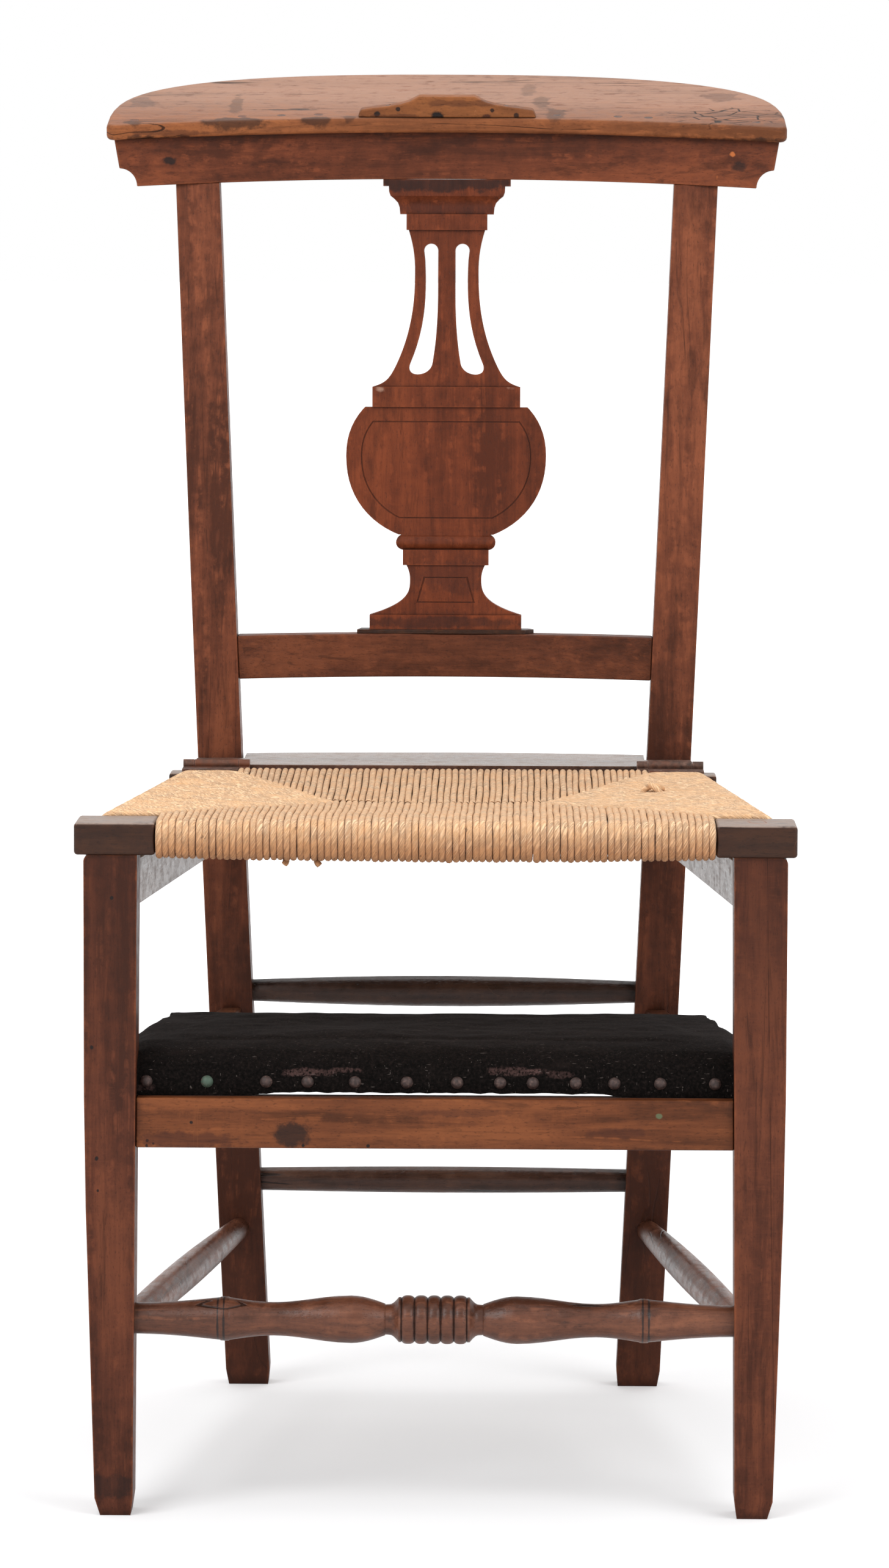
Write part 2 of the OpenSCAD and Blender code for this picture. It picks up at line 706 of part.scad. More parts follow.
tack_place_shares = [-0.975, -0.77, -0.57, -0.43, -0.27, -0.095, 0.075, 0.22, 0.33, 0.475,
    0.605, 0.76, 0.945];
tack_rise = 6.5;
tack_dome_share = 0.3;
tack_shank_r = 0.9;
tack_l = 10;
module at_tacks() {
    w = leg_inner(board_z) - pad_leg_gap;
    for (s = tack_place_shares) translate([s * w, pad_front, board_z + tack_rise]) children();
}
module tack_shanks(play) {
    at_tacks() rotate([-90, 0, 0]) cylinder(h = tack_l + play, r = tack_shank_r + play);
}
module kneeler_tacks() {
    h = tack_d * tack_dome_share;
    r = bow_radius(tack_d / 2, h);
    color("#7d6459") placed() union() {
        tack_shanks(0);
        at_tacks() intersection() {
            translate([0, r - h, 0]) sphere(r = r);
            translate([-r, -2 * r, -r]) cube(2 * r);
        }
    }
}

// Stretchers

ring_n = 5;
ring_points = 8;
ring_power = 3;
turning_points = 6;
// Turned profile beyond the rings: share of the length left, share of the largest radius, form
turning_shares = [[0, 0.925, "even"], [0.01, 0.925, "even"], [0.045, 0.63, "quick"],
    [0.06, 0.62, "even"], [0.062, 0.655, "even"], [0.188, 0.975, "quick"],
    [0.481, 0.685, "both"], [0.645, 0.875, "slow"]];
band_shares = [[0.648, 0.9, "even"], [0.663, 0.91, "even"], [0.678, 0.9, "even"],
    [0.681, 0.875, "even"], [1, 0.64, "quick"]];
module front_stretcher_tenon(play) {
    x = leg_inner(front_stretcher_z) + tenon_l + play;
    translate([-x, leg_mid_y(front_stretcher_z), front_stretcher_z]) rotate([0, 90, 0])
        cylinder(h = 2 * x, r = round_tenon_r + play);
}
module front_stretcher() {
    r = front_stretcher_dia / 2;
    x0 = ring_n * ring_pitch / 2;
    x1 = leg_inner(front_stretcher_z);
    rings = [for (i = [0 : ring_n * ring_points / 2])
        let (x = i * ring_pitch / ring_points, off = abs(x - ring_pitch * round(x / ring_pitch)))
        [x, r - ring_groove * pow(2 * off / ring_pitch, ring_power)]];
    turning = smooth_line([for (s = concat(turning_shares, band_shares))
        [x0 + s[0] * (x1 - x0), s[1] * r, s[2]]], turning_points);
    end = turning[len(turning) - 1];
    color("#6b3f28") placed() union() {
        difference() {
            translate([0, leg_mid_y(front_stretcher_z), front_stretcher_z])
                turned(concat(rings, [for (p = turning) if (p[0] > x0) p],
                    [[end[0] + foot_bevel, end[1]]]));
            for (side = [left, right]) on_side(side) leg_with_outside();
        }
        front_stretcher_tenon(0);
    }
}

side_stretcher_end_share = 0.68;
side_x0 = leg_mid_x(side_stretcher_z);
side_x1 = post_mid_x(side_stretcher_z);
side_y0 = leg_back(side_stretcher_z) - tenon_l;
side_y1 = post_front(side_stretcher_z) + tenon_l;
side_l = norm([side_x1 - side_x0, side_y1 - side_y0]);
module side_stretcher_tenon(play) {
    rod_frame(side_x0, side_y0, side_x1, side_y1, side_stretcher_z)
        translate([0, 0, -play]) cylinder(h = side_l + 2 * play, r = round_tenon_r + play);
}
module side_stretcher(side) {
    r = side_stretcher_dia / 2;
    profile = [for (i = [0 : steps]) let (t = i / steps)
        [r * (side_stretcher_end_share + (1 - side_stretcher_end_share) * sin(180 * t)), side_l * t]];
    color("#5f3a29") placed() on_side(side) union() {
        difference() {
            rod_frame(side_x0, side_y0, side_x1, side_y1, side_stretcher_z)
                rotate_extrude() polygon(concat([[0, 0]], profile, [[0, side_l]]));
            front_leg_plain();
            post_plain();
        }
        side_stretcher_tenon(0);
    }
}
module side_stretcher_left() side_stretcher(left);
module side_stretcher_right() side_stretcher(right);

upper_end_share = 0.7;
lower_end_share = 0.86;
module back_stretcher_tenon(z, play) {
    x = post_inner(z) + tenon_l + play;
    translate([-x, post_mid_y(z), z]) rotate([0, 90, 0])
        cylinder(h = 2 * x, r = round_tenon_r + play);
}
module back_stretcher(z, dia, end_share) {
    r = dia / 2;
    x1 = post_inner(z) + foot_bevel;
    color("#5f3a29") placed() union() {
        difference() {
            translate([0, post_mid_y(z), z]) turned([for (i = [0 : steps / 2])
                let (t = 2 * i / steps)
                [x1 * t, r * (end_share + (1 - end_share) * cos(90 * t))]]);
            for (side = [left, right]) on_side(side) post_with_outside();
        }
        back_stretcher_tenon(z, 0);
    }
}
module back_stretcher_upper() {
    back_stretcher(upper_stretcher_z, upper_stretcher_dia, upper_end_share);
}
module back_stretcher_lower() {
    back_stretcher(lower_stretcher_z, lower_stretcher_dia, lower_end_share);
}

// Lower back rail, splat and shim

low_inset = 4;
low_mid_z = low_rail_z + low_rail_h / 2;
low_r = bow_radius(post_inner(low_mid_z), low_rail_bow);
low_end_y = post_front(low_mid_z) + low_inset;
low_mid_y = low_end_y + low_rail_bow;
module low_rail_tenon(play) {
    x = post_inner(low_mid_z) + tenon_l + play;
    y = low_end_y + low_rail_t / 2;
    for (side = [left, right]) on_side(side)
        block(post_inner(low_mid_z) - tenon_l / 2, x, y - tenon_t / 2 - play,
            y + tenon_t / 2 + play, low_rail_z + tenon_shoulder - play,
            low_rail_z + low_rail_h - tenon_shoulder + play);
}
module bowed_band(mid_y, r, t, half, z0, h) {
    translate([0, 0, z0]) linear_extrude(h) intersection() {
        translate([0, mid_y - r]) difference() {
            circle(r = r + t, $fn = arc_fn);
            circle(r = r, $fn = arc_fn);
        }
        translate([-half, mid_y - 2 * over]) square([2 * half, 4 * over]);
    }
}
module lower_back_rail() {
    color("#6b3f28") placed() union() {
        difference() {
            bowed_band(low_mid_y, low_r, low_rail_t, post_outer(low_mid_z), low_rail_z, low_rail_h);
            for (side = [left, right]) on_side(side) post_with_outside();
        }
        low_rail_tenon(0);
    }
}

splat_z = low_rail_z + low_rail_h + shim_h;
splat_h = crest_h - splat_z;
splat_y = low_mid_y + (low_rail_t - splat_t) / 2;
splat_lean = atan((crest_mid_y + (crest_t - splat_t) / 2 - splat_y) / splat_h);
module splat_frame() {
    translate([0, splat_y, splat_z]) rotate([-splat_lean, 0, 0]) children();
}
// Levels of the splat as shares of its height
base_share = 0.032;
waist_share = 0.112;
foot_share = 0.143;
fillet_share = 0.177;
torus_share = 0.211;
urn_mid_share = 0.387;
urn_top_share = 0.495;
shoulder_share = 0.54;
neck_thin_share = 0.8;
neck_share = 0.888;
neck_block_share = 0.923;
cyma_share = 0.985;
// Widths as shares of the piece of the splat that carries them
waist_w_share = 0.47;
fillet_w_share = 0.565;
torus_w_share = 0.655;
neck_block_w_share = 0.634;
neck_top_w_share = 0.6;
// How the neck flares out to the urn's shoulder
neck_flare_share = 0.72;
neck_flare_power = 2.4;
neck_lip_power = 30;
foot_flare_power = 3;
foot_steps = 6;
// Moulding under the cap: share of the cap's width, share of the splat's height
cap_shares = [[0.735, 0.923], [0.745, 0.938], [0.77, 0.948], [0.83, 0.957], [0.885, 0.963],
    [0.908, 0.972], [0.913, 0.985]];
function level(share) = share * splat_h;
function neck_fall(z) = max(0, (level(neck_thin_share) - z)
    / (level(neck_thin_share) - level(shoulder_share)));
function neck_half(z) = splat_neck_w / 2 + (splat_shoulder_w - splat_neck_w) / 2
    * (neck_flare_share * pow(neck_fall(z), neck_flare_power)
        + (1 - neck_flare_share) * pow(neck_fall(z), neck_lip_power))
    + (splat_cap_w * neck_top_w_share - splat_neck_w) / 2
    * pow(max(0, (z - level(neck_thin_share)) / (level(neck_share) - level(neck_thin_share))), 2);
// A full oval, whose upper and lower halves differ in height
urn_up_share = 0.468;
oval_power = 0.91;
oval_steps = 72;
function bulge(v) = sign(v) * pow(abs(v), oval_power);
function oval(half, up, down) = [for (i = [0 : oval_steps - 1]) let (a = 360 * i / oval_steps)
    [half * bulge(cos(a)), (sin(a) > 0 ? up : down) * bulge(sin(a))]];
module bar(half, s0, s1) {
    translate([-half, level(s0)]) square([2 * half, level(s1) - level(s0)]);
}
module symmetric(points) {
    polygon(concat(points, mirrored(points)));
}
module urn(inset, z0, z1) {
    intersection() {
        translate([0, level(urn_mid_share)])
            polygon(oval(urn_w / 2 - inset, urn_h * urn_up_share - inset,
                urn_h * (1 - urn_up_share) - inset));
        translate([-urn_w, z0]) square([2 * urn_w, z1 - z0]);
    }
}
module splat_outline() {
    cap = splat_cap_w / 2;
    base = splat_base_w / 2;
    waist = base * waist_w_share;
    bar(base, -base_share, base_share);
    symmetric([for (i = [0 : steps]) let (t = i / steps)
        [waist + (base - waist) * pow(1 - t, foot_flare_power),
            level(base_share + (waist_share - base_share) * t)]]);
    symmetric([for (i = [0 : foot_steps]) let (t = i / foot_steps)
        [waist + (base * fillet_w_share - waist) * t * t / 2,
            level(waist_share + (foot_share - waist_share) * t)]]);
    bar(base * fillet_w_share, foot_share, fillet_share);
    torus_r = (level(torus_share) - level(fillet_share)) / 2;
    bar(base * torus_w_share - torus_r, fillet_share, torus_share);
    for (side = [left, right])
        translate([side * (base * torus_w_share - torus_r), level(fillet_share) + torus_r])
            circle(r = torus_r);
    urn(0, level(torus_share), level(urn_top_share));
    bar(splat_shoulder_w / 2, urn_top_share, shoulder_share);
    symmetric([for (i = [0 : 2 * steps]) let (t = i / steps / 2,
            z = level(shoulder_share) + (level(neck_share) - level(shoulder_share)) * t * t)
        [neck_half(z), z]]);
    bar(cap * neck_block_w_share, neck_share, neck_block_share);
    symmetric([for (s = cap_shares) [cap * s[0], level(s[1])]]);
    bar(cap, cyma_share, 1);
}
// The two tall openings in the neck
slot_low_share = 0.592;
slot_high_share = 0.842;
slot_bar_share = 0.27;
slot_flare_share = 0.34;
slot_side_share = 0.33;
slot_side_flare_share = 0.35;
slot_flare_power = 3;
function slot_in(z) = splat_neck_w / 2
    * (slot_bar_share + slot_flare_share * pow(neck_fall(z), slot_flare_power));
function slot_out(z) = neck_half(z)
    - splat_neck_w / 2 * slot_side_share * (1 + slot_side_flare_share * neck_fall(z));
function slot_mid(z) = (slot_in(z) + slot_out(z)) / 2;
function slot_half(z) = (slot_out(z) - slot_in(z)) / 2;
slot_foot_steps = 10;
module splat_slot() {
    z0 = level(slot_low_share);
    z1 = level(slot_high_share);
    zs = [for (i = [0 : steps / 2]) z0 + (z1 - z0) * 2 * i / steps];
    function foot(turn, side) = let (z = z0 - slot_half(z0) * sin(turn))
        [slot_mid(z) + side * slot_half(z) * cos(turn), z];
    polygon(concat([for (i = [slot_foot_steps : -1 : 1]) foot(90 * i / slot_foot_steps, left)],
        [for (z = zs) [slot_in(z), z]],
        [for (i = [len(zs) - 1 : -1 : 0]) [slot_out(zs[i]), zs[i]]],
        [for (i = [1 : slot_foot_steps - 1]) foot(90 * i / slot_foot_steps, right)]));
    translate([slot_mid(z1), z1]) circle(r = slot_half(z1));
}
// Engraved lines on the urn and on the foot
engrave_w = 1;
engrave_d = 0.7;
urn_line_inset = 10.6;
urn_line_low_share = 0.247;
urn_line_high_share = 0.464;
foot_line_shares = [[0.385, 0.059], [0.29, 0.117]];
foot_line_inner_shares = [[0.36, 0.062], [0.27, 0.114]];
module engraving() {
    z0 = level(urn_line_low_share);
    z1 = level(urn_line_high_share);
    difference() {
        urn(urn_line_inset, z0, z1);
        urn(urn_line_inset + engrave_w, z0 + engrave_w, z1 - engrave_w);
    }
    difference() {
        symmetric([for (s = foot_line_shares) [s[0] * splat_base_w / 2, level(s[1])]]);
        symmetric([for (s = foot_line_inner_shares) [s[0] * splat_base_w / 2, level(s[1])]]);
    }
}
// How far out the moulding under the cap has come where it has this share of the cap's width
function cap_out(share) = (share - cap_shares[0][0])
    / (cap_shares[len(cap_shares) - 1][0] - cap_shares[0][0]);
// Mouldings that stand in front of the splat: from level, to level, share of their depth
mould_shares = [[-0.032, 0.032, 1], [0.143, 0.177, 0.5], [0.495, 0.54, 0.7], [0.888, 0.923, 0.8],
    [0.985, 1, 2]];
module splat() {
    torus_r = (level(torus_share) - level(fillet_share)) / 2;
    crest_cut = 2 * over;
    color("#7a4429") placed() difference() {
        splat_frame() difference() {
            union() {
                along(0, splat_t) splat_outline();
                intersection() {
                    along(-2 * splat_mould, splat_t) splat_outline();
                    union() {
                        for (m = mould_shares)
                            block(-urn_w, urn_w, -splat_mould * m[2], splat_t,
                                level(m[0]), level(m[1]));
                        translate([-urn_w / 2, torus_r - splat_mould, level(fillet_share) + torus_r])
                            rotate([0, 90, 0]) cylinder(h = urn_w, r = torus_r);
                        across(urn_w) polygon(concat([[splat_t / 2, level(cap_shares[0][1])]],
                            [for (s = cap_shares) [-2 * splat_mould * cap_out(s[0]), level(s[1])]],
                            [[splat_t / 2, level(cyma_share)]]));
                    }
                }
            }
            along(-over, over) union() {
                splat_slot();
                mirror([1, 0]) splat_slot();
            }
            along(-over, engrave_d) engraving();
        }
        board_frame(0) block(-crest_cut, crest_cut, -crest_cut, crest_cut, 0, over);
        block(-crest_cut, crest_cut, low_mid_y - crest_cut, low_mid_y + crest_cut, splat_z - over, splat_z);
    }
}
// Outline of the shim: share of its half width, share of the lower back rail's thickness
shim_shares = [[-1, 0], [0.9, -0.09], [1, 0.4], [0.94, 0.85], [-0.96, 0.9]];
module splat_shim() {
    color("#4a3226") placed() translate([0, 0, low_rail_z + low_rail_h]) linear_extrude(shim_h)
        polygon([for (s = shim_shares) [s[0] * shim_w / 2, low_mid_y + s[1] * low_rail_t]]);
}

// Crest rail, arm board and book lip

crest_end_taper = 6;
board_r = bow_radius(board_w / 2, crest_bow);
board_end_y = -board_overhang - crest_bow;
module crest_rail() {
    color("#82492c") placed() difference() {
        intersection() {
            bowed_band(crest_mid_y, crest_r, crest_t, crest_w / 2, crest_h - over, 4 * over);
            board_frame(0) along(-2 * over, 2 * over) symmetric([
                [crest_w / 2 - crest_end_taper, 0], [crest_w / 2, crest_rail_h]]);
        }
        for (side = [left, right]) {
            board_frame(0) translate([side * (crest_w / 2 - crest_end_taper / 2), 0, 0])
                rotate([90, 0, 0]) cylinder(h = 4 * over, r = crest_notch_r, center = true);
            on_side(side) post_tenon(fit);
        }
        board_nails_at() board_nail(fit);
    }
}
board_corner_rise = 1.3;
board_corner_steps = 6;
board_round_power = 2.5;
board_round_root = 0.3;
function board_back(x) = board_end_y + (board_d + crest_bow)
    * pow(max(0, 1 - pow(abs(x) / (board_w / 2), board_round_power)), board_round_root);
// A front corner of the arm board, from its front edge round to its end
function board_corner(half) = [for (i = [0 : board_corner_steps])
    let (a = 90 * i / board_corner_steps, r = board_corner_r)
    [half - r + r * sin(a), board_end_y + board_corner_rise + r - r * cos(a)]];
module arm_board() {
    half = board_w / 2;
    color("#a5734f") placed() difference() {
        board_frame(crest_rail_h) linear_extrude(board_t) difference() {
            polygon(concat(mirrored(board_corner(half)), board_corner(half),
                [for (i = [steps - 1 : -1 : 1 - steps]) let (x = half * sin(90 * i / steps))
                    [x, board_back(x)]]));
            translate([0, -board_overhang - board_r]) circle(r = board_r, $fn = arc_fn);
        }
        board_nails_at() board_nail(fit);
        lip_nails(fit);
    }
}
nail_place_shares = [-0.92, -0.605, -0.49, -0.38, 0.325, 0.505, 0.595, 0.91];
nail_inset = 13;
nail_r = 1.1;
nail_l = 34;
nail_head_r = 3.2;
nail_head_t = 1.2;
module board_nails_at() {
    board_frame(crest_rail_h + board_t) for (s = nail_place_shares)
        translate([s * board_w / 2, nail_inset - board_overhang - arc_drop(board_r, s * board_w / 2), 0])
            children();
}
module board_nail(play) {
    translate([0, 0, -nail_l - play]) cylinder(h = nail_l, r = nail_r + play);
    translate([0, 0, -nail_head_t - play]) cylinder(h = nail_head_t + 2 * play, r = nail_head_r + play);
}
module arm_board_nails() {
    color("#4d4038") placed() board_nails_at() board_nail(0);
}
// Outline of the lip: share of its half width, share of its height
lip_shares = [[1, 0], [0.965, 0.36], [0.8, 0.46], [0.66, 0.53], [0.52, 0.63], [0.43, 0.74],
    [0.31, 1]];
lip_nail_share = 0.66;
lip_nail_rise_share = 0.53;
lip_nail_r = 0.9;
lip_nail_head_r = 1.8;
module lip_frame() {
    board_frame(crest_rail_h + board_t) children();
}
module book_lip() {
    color("#c08a55") placed() difference() {
        lip_frame() along(-board_overhang, lip_t - board_overhang)
            symmetric([for (s = lip_shares) [s[0] * lip_w / 2, s[1] * lip_h]]);
        lip_nails(fit);
    }
}
module lip_nails(play) {
    top = lip_h * lip_nail_rise_share;
    lip_frame() for (side = [left, right])
        translate([side * lip_w / 2 * lip_nail_share, lip_t / 2 - board_overhang, top]) {
            translate([0, 0, -top - board_t + nail_head_t - play])
                cylinder(h = top + board_t - nail_head_t + play, r = lip_nail_r + play);
            translate([0, 0, -nail_head_t - play])
                cylinder(h = nail_head_t + lip_h, r = lip_nail_head_r + play);
        }
}
module book_lip_nails() {
    color("#4d4038") placed() intersection() {
        lip_nails(0);
        lip_frame() block(-lip_w, lip_w, -over, over, -over, lip_h * lip_nail_rise_share);
    }
}

// Seat frame

cord_front_x = seat_front_w / 2 - seat_front_bare_w;
cord_rear_x = seat_rear_w / 2 - seat_rear_bare_w;
cord_side_inset_front = 11;
cord_side_inset_rear = 4;
seat_y1 = seat_front_rail_d;
seat_y2 = seat_d - seat_rear_rail_d;
cord_side_x0 = seat_front_w / 2 - cord_side_inset_front;
cord_side_x1 = seat_rear_w / 2 - cord_side_inset_rear;
seat_rail_x0 = cord_side_x0 - cord_d - seat_side_rail_w / 2;
seat_rail_x1 = cord_side_x1 - cord_d - seat_side_rail_w / 2;
seat_tenon_l = 34;
seat_tenon_w = 14;
seat_rear_tenon_l = 14;
seat_tenon_shoulder = 5;
plug_w = 11;
plug_l = 20;
plug_y = 27;
function seat_rail_x(y) = seat_rail_x0
    + (seat_rail_x1 - seat_rail_x0) * (y - seat_y1) / (seat_y2 - seat_y1);
module seat_rail_tenons(play) {
    y0 = seat_y1 - seat_tenon_l - play;
    y1 = seat_y2 + seat_rear_tenon_l + play;
    plan_bar(seat_rail_x(y0), y0, seat_rail_x(y1), y1, seat_tenon_w + 2 * play,
        seat_bottom + seat_tenon_shoulder - play, seat_h - seat_tenon_shoulder + play);
}
module rail_plug(play) {
    r = plug_w / 2 + play;
    run = plug_l / 2 - plug_w / 2;
    translate([seat_rail_x(plug_y), plug_y, seat_bottom - play])
            rotate([0, 0, -atan2(seat_rail_x1 - seat_rail_x0, seat_y2 - seat_y1)]) {
        for (s = [-run, run]) translate([0, s, 0]) cylinder(h = seat_t + 2 * play, r = r);
        block(-r, r, -run, run, 0, seat_t + 2 * play);
    }
}
module wound_rail(half, bare, y0, y1) {
    c = cord_recess;
    block(-half + bare, half - bare, y0 + c, y1 - c, seat_bottom + c, seat_h - c);
    for (side = [left, right]) on_side(side) block(half - bare, half, y0, y1, seat_bottom, seat_h);
}
module seat_front_rail() {
    color("#3e2a20") placed() difference() {
        wound_rail(seat_front_w / 2, seat_front_bare_w, 0, seat_y1);
        for (side = [left, right]) on_side(side) seat_rail_tenons(fit);
        rail_plug(fit);
    }
}
module seat_rear_rail() {
    color("#3e2a20") placed() difference() {
        wound_rail(seat_rear_w / 2, seat_rear_bare_w, seat_y2, seat_d);
        for (side = [left, right]) on_side(side) {
            seat_rail_tenons(fit);
            leaf_screws(seat_screw_y, seat_h, fit);
        }
    }
}
module seat_side_rail_plain() {
    c = cord_recess;
    plan_bar(seat_rail_x0, seat_y1, seat_rail_x1, seat_y2, seat_side_rail_w,
        seat_bottom + c, seat_h - c);
}
module seat_side_rail(side) {
    color("#4a3226") placed() on_side(side) difference() {
        union() {
            seat_side_rail_plain();
            seat_rail_tenons(0);
        }
        if (side == right) rail_plug(fit);
    }
}
module seat_side_rail_left() seat_side_rail(left);
module seat_side_rail_right() seat_side_rail(right);
module seat_rail_plug() {
    color("#55453a") placed() rail_plug(0);
}

// Corded seat: four panels that meet on mitres, and on a ridge between them

cord_edge_r = 9;
cord_edge_bevel = 6;
mitre_depth = 1.6;
rear_mitre_depth = 1.4;
ridge_depth = 1.1;
mitre_run = 3;
mitre_mid_share = 0.317;
mitre_depth_share = 0.52;
// Outline of the cord from the side, rounded over the front and the rear rail
cord_edge_steps = 5;
function cord_corner(y, z, turn) = [for (i = [0 : cord_edge_steps])
    let (a = turn + 90 * i / cord_edge_steps) [y + cord_edge_r * cos(a), z + cord_edge_r * sin(a)]];
module cord_profile() {
    y0 = cord_edge_r - cord_proud;
    y1 = seat_d + cord_proud - cord_edge_r;
    z0 = seat_bottom - cord_proud + cord_edge_r;
    z1 = seat_h + cord_proud - cord_edge_r;
    polygon(concat(cord_corner(y0, z0, 180), cord_corner(y1, z0, 270),
        cord_corner(y1, z1, 0), cord_corner(y0, z1, 90)));
}
module seat_cord() {
    p = cord_proud;
    f = cord_front_x - fit;
    b = cord_rear_x - fit;
    s0 = cord_side_x0;
    s1 = cord_side_x1;
    y1 = seat_y1 + fit;
    y2 = seat_y2 - fit;
    top = seat_h + p;
    mid = seat_d * mitre_depth_share;
    half = [[f, -2 * p], [f, y1], [s0, y1], [s1, y2], [b, y2], [b, seat_d + 2 * p]];
    color("#e4b27a") placed() difference() {
        intersection() {
            translate([0, 0, seat_bottom - 2 * p]) linear_extrude(seat_t + 4 * p) symmetric(half);
            across(seat_front_w) cord_profile();
        }
        for (side = [left, right]) on_side(side) {
            for (z = [seat_bottom - p, top]) side_bevel(s0, y1, s1, y2, z);
            mitre_groove(f, y1, s0 * mitre_mid_share, mid, top, mitre_depth);
            mitre_groove(b, y2, s0 * mitre_mid_share, mid, top, rear_mitre_depth);
            seat_side_rail_plain();
        }
        mitre_groove(-s0 * mitre_mid_share, mid, s0 * mitre_mid_share, mid, top, ridge_depth);
        wound_rail(seat_front_w / 2, seat_front_bare_w, 0, seat_y1);
        wound_rail(seat_rear_w / 2, seat_rear_bare_w, seat_y2, seat_d);
    }
}
// A slanting cut along the outer edge of a side panel
module side_bevel(x0, y0, x1, y1, z) {
    w = cord_edge_bevel * sqrt(2);
    a = atan2(x1 - x0, y1 - y0);
    translate([x0, y0, z]) rotate([0, 0, -a]) rotate([0, 45, 0])
        translate([-w / 2, -over, -w / 2]) cube([w, y1 - y0 + 2 * over, w]);
}
module mitre_groove(x0, y0, x1, y1, z, depth) {
    w = depth * sqrt(2);
    translate([x0, y0, z]) rotate([0, 0, -atan2(x1 - x0, y1 - y0)]) rotate([0, 45, 0])
        translate([-w / 2, -mitre_run, -w / 2]) cube([w, norm([x1 - x0, y1 - y0]) + 2 * mitre_run, w]);
}

front_leg_left();
front_leg_right();
back_post_left();
back_post_right();
side_apron_left();
side_apron_right();
rear_seat_rail();
hinge_ledge();
kneeler_front_rail();
kneeler_side_rail_left();
kneeler_side_rail_right();
kneeler_board();
kneeler_pad();
kneeler_tacks();
front_stretcher();
side_stretcher_left();
side_stretcher_right();
back_stretcher_upper();
back_stretcher_lower();
lower_back_rail();
splat();
splat_shim();
crest_rail();
arm_board();
arm_board_nails();
book_lip();
book_lip_nails();
hinge_ledge_leaf_left();
hinge_ledge_leaf_right();
hinge_pins();
hinge_ledge_screws();
seat_front_rail();
seat_side_rail_left();
seat_side_rail_right();
seat_rear_rail();
seat_rail_plug();
seat_cord();
hinge_seat_leaf_left();
hinge_seat_leaf_right();
hinge_seat_screws();
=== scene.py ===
"""Church chair with a kneeler: looks, light and camera, built around the fixed frame."""
import math

import bmesh
import bpy
import numpy as np
from mathutils import Matrix, Vector, noise


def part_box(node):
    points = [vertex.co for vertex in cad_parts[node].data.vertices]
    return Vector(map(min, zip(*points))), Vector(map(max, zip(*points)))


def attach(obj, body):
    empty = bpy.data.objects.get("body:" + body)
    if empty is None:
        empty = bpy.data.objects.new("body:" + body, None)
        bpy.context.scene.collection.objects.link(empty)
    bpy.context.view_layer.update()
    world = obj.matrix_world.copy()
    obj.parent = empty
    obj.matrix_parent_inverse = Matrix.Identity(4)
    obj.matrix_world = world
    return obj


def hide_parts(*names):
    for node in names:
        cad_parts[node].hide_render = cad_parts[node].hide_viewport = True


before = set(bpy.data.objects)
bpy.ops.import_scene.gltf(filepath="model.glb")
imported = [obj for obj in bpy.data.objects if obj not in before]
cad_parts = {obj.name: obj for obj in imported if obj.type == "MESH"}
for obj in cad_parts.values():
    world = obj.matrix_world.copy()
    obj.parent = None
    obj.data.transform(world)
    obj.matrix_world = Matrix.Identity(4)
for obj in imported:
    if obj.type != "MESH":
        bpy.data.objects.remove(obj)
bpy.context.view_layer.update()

MM = 0.001

# Camera: the photo's height in pixels, and the place and turn that were fitted to the photo

PHOTO_H = 2569
FOCAL_PX = 10564
CAMERA_PLACE = Vector((0.060, -4.4569, 0.892))
CAMERA_TILT = math.radians(5.593)
CAMERA_PAN = math.radians(-0.747)
CAMERA_ROLL = math.radians(0.2)
CAMERA_REACH = 100
SENSOR_H = 36.0


def put_in_scene(name, data):
    thing = bpy.data.objects.new(name, data)
    bpy.context.scene.collection.objects.link(thing)
    return thing


def make_camera():
    data = bpy.data.cameras.new("camera")
    data.sensor_fit = "VERTICAL"
    data.sensor_height = SENSOR_H
    data.lens = FOCAL_PX / PHOTO_H * SENSOR_H
    data.clip_end = CAMERA_REACH
    camera = put_in_scene("camera", data)
    ahead = Vector((math.sin(CAMERA_PAN) * math.cos(CAMERA_TILT),
                    math.cos(CAMERA_PAN) * math.cos(CAMERA_TILT), -math.sin(CAMERA_TILT)))
    across = Vector((math.cos(CAMERA_PAN), -math.sin(CAMERA_PAN), 0))
    up = across.cross(ahead)
    turn = Matrix((across, up, -ahead)).transposed().to_4x4()
    camera.matrix_world = (Matrix.Translation(CAMERA_PLACE) @ turn
                           @ Matrix.Rotation(CAMERA_ROLL, 4, "Z"))
    bpy.context.scene.camera = camera


# Node trees, written as nested calls

